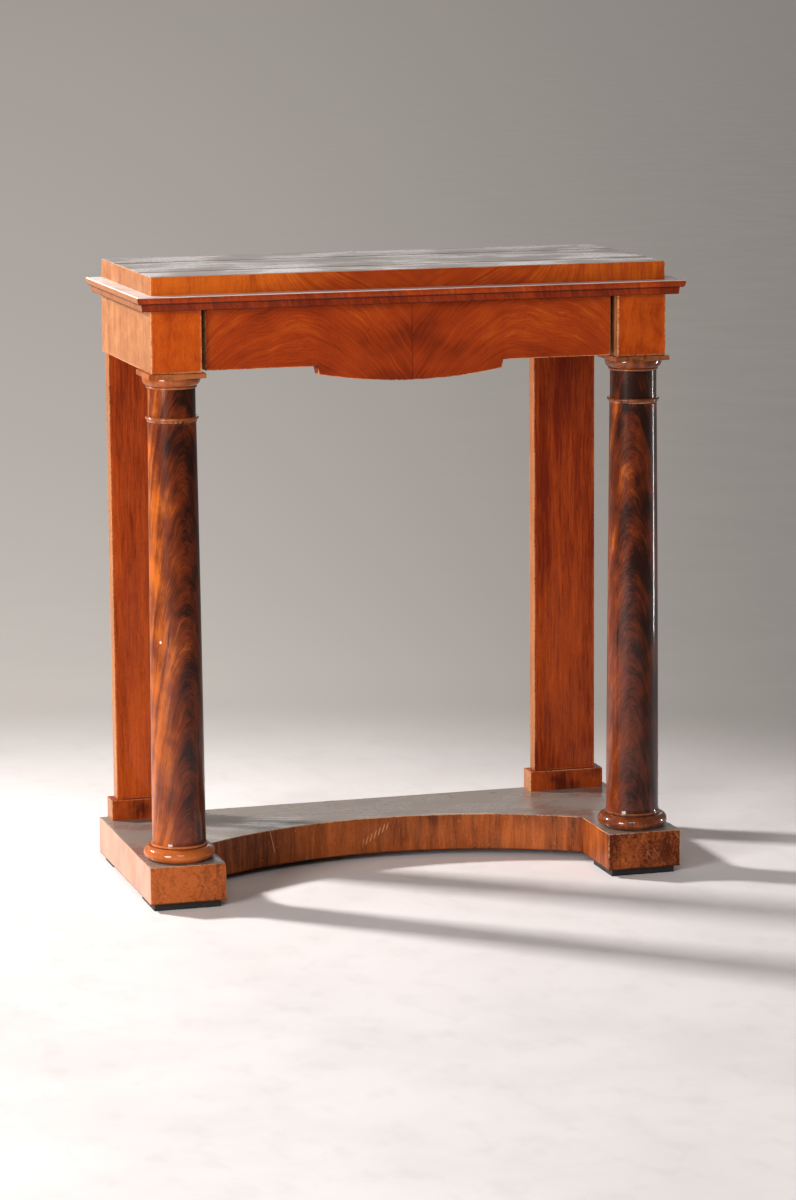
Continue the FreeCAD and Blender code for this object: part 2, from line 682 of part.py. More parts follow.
def make_cornice():
    """A two-step moulding on three sides, mitred at the front corners."""
    out = "upper_step_overhang"
    lap = "frieze_board_lap"
    step, rise = "lower_step_height", "lower_step_height + upper_step_height"
    cove_height = "upper_step_height - upper_step_nose"
    cove_radius = f"(upper_step_cove ^ 2 + ({cove_height}) ^ 2) / (2 * upper_step_cove)"
    # (distance out from the frieze's face, height over its head)
    moulding = [(f"-{lap}", "0"), ("lower_step_overhang - lower_step_lean", "0"),
                ("lower_step_overhang", step), (f"{out} - upper_step_cove", step),
                (out, f"{rise} - upper_step_nose"), (out, f"{rise} - nose_round"),
                (f"{out} - nose_round", rise), (f"-{lap}", rise)]
    arcs = {3: (cove_radius, 1), 5: ("nose_round", 1)}

    def mitre(body, corners):
        """Cuts an end of a length of moulding to its mitre."""
        pocket = body.newObject("PartDesign::Pocket", f"{body.Name}_mitre")
        pocket.Profile = profile(body, "XY_Plane", corners)
        pocket.Type = "ThroughAll"
        pocket.Reversed = True

    side = new_body("cornice_side", y="back", z="frieze_head")
    sketch = profile(side, "XZ_Plane", [(f"-half - ({x})", y) for x, y in moulding],
                     {number: (radius, -turn) for number, (radius, turn) in arcs.items()})
    pad(side, sketch, f"frieze_depth + {out}")
    x_inner, x_outer = f"-half + {lap} + {MITRE_SPARE}", f"-half - {out} - {MITRE_SPARE}"
    y_inner, y_outer = f"-frieze_depth + {lap} + {MITRE_SPARE}", f"-frieze_depth - {out} - {MITRE_SPARE}"
    mitre(side, [(x_inner, y_inner), (x_outer, y_outer), (x_inner, y_outer)])
    keep("cornice_left", side)
    keep("cornice_right", mirrored("cornice_side_right", side))

    front = new_body("cornice_front_length", f"-half - {out}", "front", "frieze_head")
    sketch = profile(front, "YZ_Plane", [(f"-({x})", y) for x, y in moulding],
                     {number: (radius, -turn) for number, (radius, turn) in arcs.items()})
    run = f"frieze_width + 2 * {out}"
    pad(front, sketch, run)
    y_inner, y_outer = f"{lap} + {MITRE_SPARE}", f"-{out} - {MITRE_SPARE}"
    reach = f"{out} + {y_inner}"
    for x_inner, x_outer in ((reach, f"-{MITRE_SPARE}"), (f"{run} - ({reach})", f"{run} + {MITRE_SPARE}")):
        mitre(front, [(x_inner, y_inner), (x_outer, y_inner), (x_outer, y_outer)])
    keep("cornice_front", front)


def make_top(screws):
    """A raised top: rails and a batten under one panel with eased edges."""
    height = ("ledge", "top_rail_head")
    inner = "top_half - top_rail_width"
    front_rear, back_front = "top_front + top_rail_width", "back - top_rail_width"
    rails = {"front": (("-top_half", "top_half"), ("top_front", front_rear)),
             "back": (("-top_half", "top_half"), (back_front, "back")),
             "left": (("-top_half", f"-({inner})"), (front_rear, back_front)),
             "right": ((inner, "top_half"), (front_rear, back_front))}
    for name, (x, y) in rails.items():
        blank = block(f"top_rail_{name}_blank", x, y, height)
        keep(f"top_rail_{name}", cut(f"top_rail_{name}", blank, screws))
    keep("top_batten", block("top_batten", ("-top_batten_width / 2", "top_batten_width / 2"),
                             (front_rear, back_front), height))
    keep("top_panel", board("top_panel", ("-top_half", "top_half"), ("top_front", "back"),
                            ("top_rail_head", "crown"), at_head, "top_round"))


def drawer_side_outline():
    """Corners of a drawer side: a board with a row of dovetails at each end."""
    pitch = f"drawer_side_height / {TAILS}"
    front_root, front_tip = "drawer_front_back", "drawer_front_y + drawer_front_lap"
    rear_root, rear_tip = "drawer_rear - drawer_back_thickness", "drawer_rear"
    corners = []

    def tails(root, tip, numbers, rising):
        for number in numbers:
            middle = f"{pitch} * (2 * {number} + 1) / 2"
            wide = f"tail_share * {pitch} / 2"
            narrow = f"{wide} - tail_slope * (drawer_front_thickness - drawer_front_lap)"
            lower = [(root, f"{middle} - ({narrow})"), (tip, f"{middle} - {wide}")]
            upper = [(tip, f"{middle} + {wide}"), (root, f"{middle} + {narrow}")]
            corners.extend(lower + upper if rising else upper[::-1] + lower[::-1])

    corners.append((rear_root, "0"))
    tails(rear_root, rear_tip, range(TAILS), True)
    corners.append((rear_root, "drawer_side_height"))
    corners.append((front_root, "drawer_side_height"))
    tails(front_root, front_tip, reversed(range(TAILS)), False)
    corners.append((front_root, "0"))
    return corners


def make_drawer():
    """A dovetailed drawer behind a front with a hanging lobe."""
    bottom_half = "drawer_inner + drawer_groove_depth"
    bottom = block("drawer_bottom_blank", (f"-({bottom_half})", bottom_half),
                   ("drawer_front_back - drawer_groove_depth", "drawer_rear"),
                   ("bottom_foot", "bottom_head"))

    blank = new_body("drawer_side_blank", "-drawer_half", "0", "side_foot")
    pad(blank, profile(blank, "YZ_Plane", drawer_side_outline()), "drawer_side_thickness")
    left = cut("drawer_side_grooved", blank, [bottom])
    right = mirrored("drawer_side_opposite", left)
    keep("drawer_side_left", left)
    keep("drawer_side_right", right)

    plate = new_body("drawer_front_blank", "0", "drawer_front_back", "drawer_foot")
    lobe, tip = "drop_width / 2", "drop_width / 2 - drop_lean"
    height = "drawer_head - drawer_foot"
    outline = [("-drawer_half", "0"), (f"-{lobe}", "0"), (f"-({tip})", "-drop_step"),
               (tip, "-drop_step"), (lobe, "0"), ("drawer_half", "0"), ("drawer_half", height),
               ("-drawer_half", height)]
    sketch = profile(plate, "XZ_Plane", outline, {2: ("drop_radius", 1)})
    pad(plate, sketch, "drawer_front_thickness")
    front = new_body("drawer_front_joined")
    front.BaseFeature = cut("drawer_front_sockets", plate, [left, right, bottom])
    ease(front, front.Group[0], at_front)
    keep("drawer_front", front)

    back_head = "side_head - drawer_back_drop"
    plank = block("drawer_back_blank", ("-drawer_half", "drawer_half"),
                  ("drawer_rear - drawer_back_thickness", "drawer_rear"), ("bottom_head", back_head))
    screws = [screw(f"bottom_screw_{step + 1}", "bottom_screw_length", f"{step} * drawer_half / 2",
                    "drawer_rear - drawer_back_thickness / 2", "bottom_foot", UP)
              for step in (-1, 0, 1)]
    keep("drawer_back", cut("drawer_back", plank, [left, right] + screws))
    keep("drawer_bottom", cut("drawer_bottom_board", bottom, screws))
    keep("drawer_bottom_screws", group("drawer_bottom_screws", screws))


def make_table():
    make_platform()
    make_pads()
    for side, sign in SIDES.items():
        make_column(side, sign)
        make_pilaster(side, sign)
    screws = make_frieze()
    make_cornice()
    make_top(screws)
    make_drawer()
    doc.recompute()


def check(things):
    for thing in doc.Objects:
        if "Invalid" in thing.State or "Error" in thing.State:
            raise RuntimeError(f"{thing.Name} failed: {thing.State}")
    for thing in things:
        if thing.Shape.isNull() or not thing.Shape.isValid() or not thing.Shape.Solids:
            raise RuntimeError(f"{thing.Label} has no sound shape")


def write(things):
    os.makedirs("parts", exist_ok=True)
    for thing in things:
        thing.Shape.exportStep(f"parts/{thing.Label}.step")


make_table()
check(nodes)
write(nodes)
for node in nodes:
    print(f"{node.Label}: {len(node.Shape.Solids)} solids, {node.Shape.Volume / 1000:.1f} cm3")
print(len(nodes), "nodes")
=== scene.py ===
"""Dresses a mahogany pier table: worn edges, turned columns, flame veneers and a plain studio."""

import math

import bmesh
import bpy
from bpy.props import FloatProperty, FloatVectorProperty, IntProperty, PointerProperty
from mathutils import Matrix, Vector, noise


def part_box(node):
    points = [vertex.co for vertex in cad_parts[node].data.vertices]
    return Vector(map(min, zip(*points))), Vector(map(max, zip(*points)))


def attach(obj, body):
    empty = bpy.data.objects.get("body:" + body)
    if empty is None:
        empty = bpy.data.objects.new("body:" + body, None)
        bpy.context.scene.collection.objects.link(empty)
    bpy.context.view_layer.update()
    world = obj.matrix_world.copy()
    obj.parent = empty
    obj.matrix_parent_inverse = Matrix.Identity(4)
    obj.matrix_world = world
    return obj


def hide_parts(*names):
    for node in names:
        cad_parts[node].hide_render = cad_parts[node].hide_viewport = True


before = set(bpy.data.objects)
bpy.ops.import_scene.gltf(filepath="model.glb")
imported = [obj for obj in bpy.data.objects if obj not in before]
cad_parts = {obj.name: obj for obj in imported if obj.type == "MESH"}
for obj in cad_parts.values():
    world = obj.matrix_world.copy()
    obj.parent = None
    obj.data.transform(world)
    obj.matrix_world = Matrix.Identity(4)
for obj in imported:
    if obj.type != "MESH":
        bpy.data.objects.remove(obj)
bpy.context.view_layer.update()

bl_info = {
    "name": "Pier table finish",
    "version": (1, 0, 0),
    "blender": (4, 5, 0),
    "location": "3D View > Sidebar > Pier table",
    "description": "Builds the visible wood of a mahogany pier table and finishes it",
    "category": "Object",
}


SIDES = {"left": -1, "right": 1}
# The attribute carries wear and a painted highlight on eased edges, and painted shade in hollows.
WEAR_HIGHLIGHT_AND_SHADE = "wear_highlight_and_shade"  # the mesh attribute that the polish reads
SEAM_SHARES = (0.23, 0.72)  # where the top's cracks lie, as shares of its depth
HAIR = 0.0001  # a length too small to see
TURNED_ANGLE, MOULDING_ANGLE, BOARD_ANGLE = 35, 28, 20  # faces that meet at less shade smoothly
# Scars on the left column: x, y, z, width, height and colour.
SCARS = ((-0.0223, -0.0288, 0.421, 0.0014, 0.013, "pore"),
         (-0.0172, -0.0321, 0.375, 0.0014, 0.013, "pore"),
         (-0.0272, -0.0242, 0.370, 0.0020, 0.0022, "ledge"))


def srgb(red, green, blue):
    """A colour in 0 to 255 as a screen shows it, in the linear form that Blender keeps."""
    def linear(value):
        value /= 255
        return value / 12.92 if value <= 0.04045 else ((value + 0.055) / 1.055) ** 2.4
    return linear(red), linear(green), linear(blue)


def length(name, description, default):
    return FloatProperty(name=name, description=description, default=default, min=0,
                         unit="LENGTH", precision=4)


def colour(name, description, default):
    return FloatVectorProperty(name=name, description=description, default=srgb(*default),
                               subtype="COLOR", size=3, min=0, max=1)


class PierTableSizes(bpy.types.PropertyGroup):
    """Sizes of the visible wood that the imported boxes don't give."""

    edge_round: length("Edge round", "How far the boards' edges are eased", 0.0011)
    edge_bite: length("Edge bite", "How deep the edges have worn in places", 0.0007)
    worn_border: length("Worn border", "How far the polish has thinned from an edge", 0.0026)
    edge_step: length("Edge step", "Length of wood between two places where an edge can dip", 0.009)
    turning_steps: IntProperty(name="Turning steps", description="Faces around a turned piece",
                               default=96, min=24, max=256)
    torus_height: length("Torus height", "Height of the fat ring under a column", 0.019)
    base_ring_diameter: length("Base ring", "Diameter of the thin ring over the torus", 0.078)
    shaft_foot_diameter: length("Shaft foot", "Diameter of the shaft at its foot", 0.0744)
    shaft_head_diameter: length("Shaft head", "Diameter of the shaft under its lip", 0.0664)
    lip_diameter: length("Lip", "Diameter of the lip at the shaft's head", 0.0686)
    lip_height: length("Lip height", "Height of the lip at the shaft's head", 0.002)
    neck_diameter: length("Neck", "Diameter of the neck over the ring", 0.0652)
    spigot_diameter: length("Spigot", "Diameter of the turned ends in the blocks", 0.032)
    capital_ring_diameter: length("Capital ring", "Diameter of the ring under the echinus", 0.0698)
    capital_ring_height: length("Capital ring height", "Height of that ring", 0.003)
    capital_foot_diameter: length("Echinus foot", "Diameter at the foot of the echinus", 0.0672)
    capital_curve_height: length("Echinus curve", "Height of the echinus's curved part", 0.0095)
    block_reach: length("Block reach", "Straight inner side of the platform's blocks", 0.1185)
    curve_rise: length("Curve rise", "Depth of the platform's concave front", 0.087)
    drop_width: length("Drop width", "Width of the lobe under the drawer front", 0.266)
    drop_step: length("Drop step", "Height of the step at the lobe's ends", 0.0115)
    drop_lean: length("Drop lean", "How far each end step leans in", 0.002)
    lower_overhang: length("Lower step", "Overhang of the cornice's lower step", 0.0154)
    lower_lean: length("Lower lean", "How much that step draws in at its foot", 0.0012)
    lower_height: length("Lower height", "Height of the cornice's lower step", 0.010)
    cove: length("Cove", "How far the upper step hollows at its foot", 0.0024)
    nose: length("Nose", "Height of the square nose over the cove", 0.003)
    groove_width: length("Groove width", "Width of a shrinkage crack in the top", 0.0012)
    groove_depth: length("Groove depth", "Depth of a shrinkage crack in the top", 0.0008)


class PierTableColours(bpy.types.PropertyGroup):
    """Colours of the woods and of the room."""

    flame_gold: colour("Flame gold", "Bright streaks of the flame veneer", (204, 98, 26))
    flame_red: colour("Flame red", "Middle tone of the flame veneer", (156, 56, 16))
    flame_brown: colour("Flame brown", "Dark streaks of the flame veneer", (104, 32, 10))
    block_light: colour("Block light", "Light streaks of the frieze's plain veneer", (204, 90, 20))
    block_dark: colour("Block dark", "Dark streaks of the frieze's plain veneer", (152, 54, 12))
    column_light: colour("Column light", "Flame streaks of the columns", (186, 94, 26))
    column_mid: colour("Column middle", "Middle tone of the columns", (106, 42, 14))
    column_dark: colour("Column dark", "Dark bands of the columns", (36, 14, 7))
    turned_light: colour("Turned light", "Light streaks of the turned rings", (182, 92, 32))
    turned_dark: colour("Turned dark", "Dark streaks of the turned rings", (92, 38, 14))
    plain_light: colour("Pilaster light", "Light streaks of the pilasters", (188, 80, 26))
    plain_dark: colour("Pilaster dark", "Dark streaks of the pilasters", (106, 32, 12))
    base_light: colour("Platform light", "Light streaks of the platform's edge", (178, 92, 42))
    base_dark: colour("Platform dark", "Dark streaks of the platform's edge", (82, 34, 15))
    # Paler tones painted on faces towards the left, where light falls.
    lit_flank_light: colour("Flank light", "Light streaks of the sun-bleached sides", (184, 126, 82))
    lit_flank_dark: colour("Flank dark", "Dark streaks of the sun-bleached sides", (142, 82, 45))
    # Pale bloom and a painted sheen on the platform's sides.
    chalky_bloom_and_sheen: colour("Chalky polish", "Pale bloom on the platform's sides", (196, 156, 134))
    # A painted highlight along the cornice's ledge, brighter on the left; also the colour of a pale
    # scar.
    ledge: colour("Ledge", "Pale, rubbed polish on top of the cornice", (248, 242, 238))
    top_dust: colour("Top's bloom", "Blind, dusty polish of the raised top", (144, 142, 138))
    base_dust: colour("Platform's dust", "Blind, dusty polish of the platform", (137, 130, 122))
    # Bare worn wood, and also the painted highlight along eased edges.
    wear_and_edge_highlight: colour("Worn edge", "Bare wood where the polish has gone", (222, 160, 112))
    # Also the colour of painted shade in hollows, in the cornice's groove and along the platform's
    # foot.
    pore: colour("Pore", "Filled pores and grime", (46, 18, 11))
    pine_light: colour("Pine light", "Pale wood of the hidden boards", (206, 168, 118))
    pine_dark: colour("Pine dark", "Late wood of the hidden boards", (160, 112, 66))
    beech: colour("Beech", "Pale wood of the dowels", (214, 176, 138))
    iron: colour("Iron", "Old screws", (88, 84, 80))
    pad: colour("Pad", "Black pads under the platform", (14, 13, 12))
    floor: colour("Floor", "Pale studio floor", (248, 243, 242))
    backdrop: colour("Backdrop", "Grey far behind the table", (176, 169, 163))


def sizes_and_look(context):
    """The table's sizes and its colours."""
    return context.scene.pier_table_sizes, context.scene.pier_table_colours


class Wire:
    """An output of a material's node that takes arithmetic as a number does."""

    def __init__(self, finish, socket):
        self.finish = finish
        self.socket = socket

    def maths(self, operation, *values):
        return self.finish.node("ShaderNodeMath", {"operation": operation}, values)

    def __add__(self, other):
        return self.maths("ADD", self, other)

    __radd__ = __add__

    def __sub__(self, other):
        return self.maths("SUBTRACT", self, other)

    def __rsub__(self, other):
        return self.maths("SUBTRACT", other, self)

    def __mul__(self, other):
        return self.maths("MULTIPLY", self, other)

    __rmul__ = __mul__

    def __truediv__(self, other):
        return self.maths("DIVIDE", self, other)

    def __rtruediv__(self, other):
        return self.maths("DIVIDE", other, self)

    def __pow__(self, other):
        return self.maths("POWER", self, other)

    def __abs__(self):
        return self.maths("ABSOLUTE", self)

    def sine(self):
        return self.maths("SINE", self)

    def most(self, other):
        return self.maths("MAXIMUM", self, other)

    def sign(self):
        return self.maths("SIGN", self)

    def rise(self, low, high, start=0, end=1):
        """Goes smoothly from start to end as this goes from low to high."""
        return self.finish.node("ShaderNodeMapRange", {"interpolation_type": "SMOOTHSTEP"},
                                (self, low, high, start, end))


class Finish:
    """A material or the world, with one way to add a node to it."""

    def __init__(self, name, owner=None):
        self.material = owner or bpy.data.materials.new(name)
        self.material.use_nodes = True
        self.tree = self.material.node_tree
        self.shader = self.tree.nodes.get("Principled BSDF")

    def node(self, kind, settings=None, values=(), output=0):
        """Adds a node: its settings first, then the values or links of its sockets."""
        made = self.tree.nodes.new(kind)
        for name, setting in (settings or {}).items():
            setattr(made, name, setting)
        for key, value in values.items() if isinstance(values, dict) else enumerate(values):
            self.feed(made.inputs[key], value)
        return Wire(self, made.outputs[output])

    def feed(self, socket, value):
        if isinstance(value, Wire):
            self.tree.links.new(value.socket, socket)
        elif socket.type == "RGBA":
            socket.default_value = (*value[:3], 1)
        else:
            socket.default_value = value

    def shade(self, **values):
        """Feeds the shader's own sockets, with _ for a space in their names."""
        for name, value in values.items():
            self.feed(self.shader.inputs[name.replace("_", " ")], value)

    def place(self, output="Object"):
        """The x, y and z of a point on the piece, or of a direction for the world."""
        point = self.node("ShaderNodeTexCoord", output=output)
        return [self.node("ShaderNodeSeparateXYZ", None, (point,), axis) for axis in range(3)]

    def looked_at(self):
        """1 where the eye or a reflection sees the surface, 0 where it only passes light on."""
        camera, glossy = (self.node("ShaderNodeLightPath", output=output)
                          for output in ("Is Camera Ray", "Is Glossy Ray"))
        return camera.most(glossy)

    def vector(self, x, y, z):
        return self.node("ShaderNodeCombineXYZ", None, (x, y, z))

    def mix(self, factor, first, second):
        return self.node("ShaderNodeMix", {"data_type": "RGBA"},
                         {0: factor, 6: first, 7: second}, 2)

    def layers(self, ground, *over):
        """Lays (factor, colour) pairs over a ground, one after another."""
        for factor, tint in over:
            ground = self.mix(factor, ground, tint)
        return ground

    def streaks(self, grain, width, run, detail=2, shift=0):
        """Noise drawn out along the grain, in streaks of a width and run in metres."""
        moved = self.node("ShaderNodeMapping", None,
                          {"Vector": grain, "Location": (shift, shift, shift),
                           "Scale": (1 / width, 1 / run, 1 / width)})
        return self.node("ShaderNodeTexNoise", None,
                         {"Vector": moved, "Scale": 1, "Detail": detail, "Roughness": 0.55})

    def clouds(self, point, size, detail=2, shift=0):
        """Noise that is alike in every direction."""
        return self.streaks(point, size, size, detail, shift)

    def wear_and_edge_highlight(self):
        """What the piece's mesh says: towards 1 on its worn edges, which also get a painted
        highlight, and towards -1 in its hollows, which get painted shade.
        """
        return self.node("ShaderNodeAttribute", {"attribute_name": WEAR_HIGHLIGHT_AND_SHADE}, output="Fac")

    def cover(self, factor, colour_over):
        """Lays a colour over the one that the shader has."""
        under = Wire(self, self.shader.inputs["Base Color"].links[0].from_socket)
        self.shade(Base_Color=self.mix(factor, under, colour_over))

    def dents(self, height, depth):
        """Turns a height in 0 to 1 into relief of a depth in metres."""
        self.shade(Normal=self.node("ShaderNodeBump", None,
                                    {"Height": height, "Distance": depth, "Strength": 1}))


def begun(name):
    """A new finish, with the x, y, z and point of a place on its piece."""
    finish = Finish(name)
    x, y, z = finish.place()
    return finish, x, y, z, finish.vector(x, y, z)


def shades(dark, light):
    """A dark colour, the colour halfway and a light colour."""
    return dark, tuple((a + b) / 2 for a, b in zip(dark, light)), light


def polished(finish, point, grain, figure, tones, gloss=0.3, pores=0.4, edge=0.75, lines=0.6):
    """Polished mahogany: tones from dark to light by figure, pores, worn edges with a painted edge
    highlight, painted shade in hollows and polish marks.
    """
    look = bpy.context.scene.pier_table_colours
    dark, middle, light = tones
    fine = finish.streaks(grain, 0.0012, 0.030, 3)
    pore = finish.streaks(grain, 0.0005, 0.0065, 1, 7).rise(0.60, 0.70)
    ripple = finish.streaks(grain, 0.0034, 0.075, 2, 3)
    tone = figure + ((fine - 0.5) * 0.9 + (ripple - 0.5) * 0.7) * lines
    smear = finish.clouds(point, 0.055, 3, 5)
    speck = finish.clouds(point, 0.0035, 2, 11)
    wear_and_edge_highlight = finish.wear_and_edge_highlight()
    # Eased edges get bare wood's colour: wear and a painted edge highlight.
    bare_and_highlit = wear_and_edge_highlight.rise(0.1, 0.95) * (speck + smear).rise(0.80, 1.12)
    grime = finish.clouds(point, 0.009, 4, 2).rise(0.66, 0.80) * 0.3
    # Hollows get the pore colour: painted shade in creases and grooves.
    hollow_shade = wear_and_edge_highlight.rise(-0.9, -0.1, 0.85, 0)
    wood = finish.layers(dark, (tone.rise(0.0, 0.55), middle), (tone.rise(0.45, 1.0), light),
                         (pore * pores, look.pore), (bare_and_highlit * edge, look.wear_and_edge_highlight),
                         (grime.most(hollow_shade), look.pore))
    finish.shade(Base_Color=wood, Roughness=0.30 + smear * 0.16 + bare_and_highlit * 0.22 + hollow_shade * 0.3,
                 Coat_Weight=(1 - bare_and_highlit.most(hollow_shade)) * smear.rise(0.25, 0.6, gloss * 0.6, gloss),
                 Coat_Roughness=0.06, Specular_IOR_Level=0.06)
    finish.dents(smear * 0.25 + speck * 0.04 + fine * 0.02 - pore * 0.05, 0.0006)
    return finish.material


def flame_front(look):
    """Book-matched flame veneer of the drawer front: arches that fan out from the middle seam."""
    finish, x, y, z, point = begun("flame_mahogany_front")
    drop = bpy.context.scene.pier_table_sizes.drop_width / 2
    seam = x - 0.002
    half = abs(seam)
    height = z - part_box("drawer_side_left")[0].z
    folded = finish.vector(half, y, z)
    sway = finish.clouds(folded, 0.080, 2, 4) - 0.5
    wave = finish.clouds(folded, 0.020, 2, 9) - 0.5
    bend = half - 0.165
    arch = height + bend * bend * 4.6 + sway * 0.034 + wave * 0.004
    grain = finish.vector(arch, half + sway * 0.03, seam.sign() * 0.002)
    broad = finish.streaks(grain, 0.015, 0.12, 2, 1)
    feather = finish.streaks(finish.vector(arch * 1.3 - half * 0.3, half, y), 0.0017, 0.04, 2, 6)
    glow = finish.clouds(finish.vector(x * 0.7, y, z), 0.050, 2, 12)
    sheet = half.rise(drop - 0.0004, drop + 0.0004, 0, 0.03)
    outward = half.rise(0.16, 0.29, 0, 0.10) + (-0.16 - x).rise(0, 0.12, 0, 0.04)
    figure = (0.44 + outward + sheet + (broad - 0.5) * 0.40 + (feather - 0.5) * 0.46
              + (glow - 0.5) * 0.8 - half.rise(0.0, 0.14, 0.08, 0)
              - half.rise(0.0004, 0.0014, 0.2, 0) + x.rise(-0.3, 0.1, -0.10, 0))
    return polished(finish, point, grain, figure,
                    (look.flame_brown, look.flame_red, look.flame_gold), 0.2, 0.4, 0.8, 0.55)


def painted_light_from_left(finish, look, tones):
    """A wood's tones, painted lighter where its surface faces left: painted light from the left."""
    flank = (0 - finish.place("Normal")[0]).rise(0.55, 0.95)
    lit_left_tones = shades(look.lit_flank_dark, look.lit_flank_light)
    return tuple(finish.mix(flank, deep, pale) for deep, pale in zip(tones, lit_left_tones))


def upright_veneer(look, name, light, dark, swirl=0.010, lines=0.8, cloudy=1.0, fade=0.0,
                   edge=0.75):
    """Plain, a little wavy veneer, its grain upright on every side and painted lighter on faces
    towards the left, where light falls.
    """
    finish, x, y, z, point = begun(name)
    sway = finish.clouds(point, 0.060, 2, 4) - 0.5
    turn = finish.clouds(point, 0.024, 2, 8) - 0.5
    grain = finish.vector(x + sway * swirl + turn * swirl * 0.5, z, y + sway * swirl)
    broad = finish.streaks(grain, 0.019, 0.20, 3, 2)
    mottle = finish.clouds(finish.vector(x, y, z * (0.3 + cloudy)), 0.030, 2, 13)
    figure = (0.50 + (broad - 0.5) * 1.1 + (mottle - 0.5) * cloudy - x.rise(0.0, 0.36, 0, 0.10)
              + z.rise(0.12, 0.72, x.rise(-0.3, 0.3, fade, 0), -fade))
    tones = painted_light_from_left(finish, look, shades(dark, light))
    return polished(finish, point, grain, figure, tones, 0.2, 0.45, edge, lines)


def banded(look, name, axis):
    """Veneer laid across a moulding: short grain at right angles to its length, with a painted
    highlight on its ledge and painted shade in its groove and at its foot.
    """
    finish, x, y, z, point = begun(name)
    across, along = (x, y) if axis == "x" else (y, x)
    sway = finish.clouds(point, 0.040, 2, 4) - 0.5
    lean = across + z * 0.35 + sway * 0.006
    grain = finish.vector(lean, along, z * 0.15)
    broad = finish.streaks(grain, 0.013, 0.12, 3, 3)
    patch = finish.streaks(grain, 0.075, 0.5, 1, 8)
    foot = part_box("cornice_front")[0].z
    lower = z.rise(foot + 0.009, foot + 0.0105, 0.22, 0)
    figure = 0.44 - lower + (broad - 0.5) * 0.7 + (patch - 0.5) * 0.6
    # Faces towards the left get paler tones: painted light from the left.
    tones = painted_light_from_left(finish, look, (look.flame_brown, look.block_dark, look.block_light))
    wood = polished(finish, point, grain, figure, tones, 0.25, 0.4, 0.4)
    # A painted highlight on the ledge, fading from left to right.
    ledge = z.rise(foot + 0.0186, foot + 0.0194) * x.rise(-0.3, 0.3, 1, 0.75)
    cloud = finish.clouds(point, 0.05, 3, 6).rise(0.3, 0.6, 0.75, 1)
    # Painted shade in the groove between the steps and along the cornice's foot.
    groove_shade = abs(z - foot - 0.0103).rise(0.0005, 0.0016, 0.85, 0)
    finish.cover(groove_shade.most(z.rise(foot, foot + 0.0014, 0.85, 0)), look.pore)
    finish.cover(ledge * cloud, look.ledge)
    return wood


def feathered(look):
    """The band of the raised top: upright at its ends, fanned out from the middle."""
    finish, x, y, z, point = begun("flame_mahogany_band")
    half = abs(x - 0.01)
    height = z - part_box("top_rail_front")[0].z
    fan = half.rise(0.10, 0.26, 1.9, 0)
    sway = finish.clouds(point, 0.05, 2, 4) - 0.5
    lean = half - height * fan + sway * 0.008
    grain = finish.vector(lean, height, y)
    broad = finish.streaks(grain, 0.008, 0.06, 3, 5)
    patch = finish.clouds(point, 0.05, 2, 2)
    ends = half.rise(0.08, 0.30, -0.04, 0.34)
    figure = 0.57 + ends + (broad - 0.5) * 0.55 + (patch - 0.5) * 0.7 - x.rise(0.05, 0.36, 0, 0.20)
    return polished(finish, point, grain, figure,
                    (look.flame_brown, look.flame_red, look.flame_gold), 0.2, 0.4, 0.8, 0.6)


def board_top(name, node, seams, dust, bloomed, stain=0.0):
    """A flat top with its grain across the table, blind and dusty polish and long seams."""
    look = bpy.context.scene.pier_table_colours
    finish, x, y, z, point = begun(name)
    sway = finish.clouds(finish.vector(x * 0.4, y, z), 0.10, 2, 4) - 0.5
    grain = finish.vector(y + sway * 0.02, x, z)
    broad = finish.streaks(grain, 0.026, 0.42, 3, 3)
    low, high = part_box(node)
    near = [abs(y - (low.y + (high.y - low.y) * share) + sway * 0.002).rise(0.0012, 0.0058, 1, 0)
            for share in seams]
    fine = finish.streaks(grain, 0.0012, 0.035, 3)
    pore = finish.streaks(grain, 0.0006, 0.012, 1, 7).rise(0.60, 0.72)
    patch = finish.clouds(finish.vector(x * 0.55, y, z), 0.062, 3, 9)
    bloom = patch.rise(0.38, 0.60)
    speck = finish.clouds(point, 0.006, 3, 12).rise(0.66, 0.74)
    tone = 0.5 + (broad - 0.5) * 1.5 + (fine - 0.5) * 0.7
    spot = finish.clouds(finish.vector(x, y * 1.7, z), 0.030, 1, 21).rise(0.70, 0.745)
    # The top's eased border gets bare wood's colour: wear and a painted edge highlight.
    bare_and_highlit = finish.wear_and_edge_highlight() * patch.rise(0.3, 0.6)
    wood = finish.layers(
        look.flame_brown, (tone.rise(0.1, 0.9), look.flame_red),
        (tone.rise(0.0, 0.42, 0.75, 0), look.pore), (pore * 0.45, look.pore),
        (dust - (1 - bloom) * (1.07 - dust), bloomed), (speck * 0.3, look.plain_dark),
        (spot * stain, look.plain_dark), (bare_and_highlit * 0.55, look.wear_and_edge_highlight))
    gloss = (1 - bloom * 0.7) * (1 - bare_and_highlit)
    rough = 0.17 + bloom * 0.30 + bare_and_highlit * 0.15 + speck * 0.1
    if near:
        seam = sum(near[1:], near[0])
        wood = finish.mix(seam * 0.9, wood, look.pore)
        gloss, rough = gloss * (1 - seam), rough + seam * 0.5
    finish.shade(Base_Color=wood, Roughness=rough, Coat_Weight=gloss * 0.6,
                 Coat_Roughness=0.12, Specular_IOR_Level=0.35)
    finish.dents(patch * 0.5 + fine * 0.12 - pore * 0.14, 0.0008)
    return finish.material


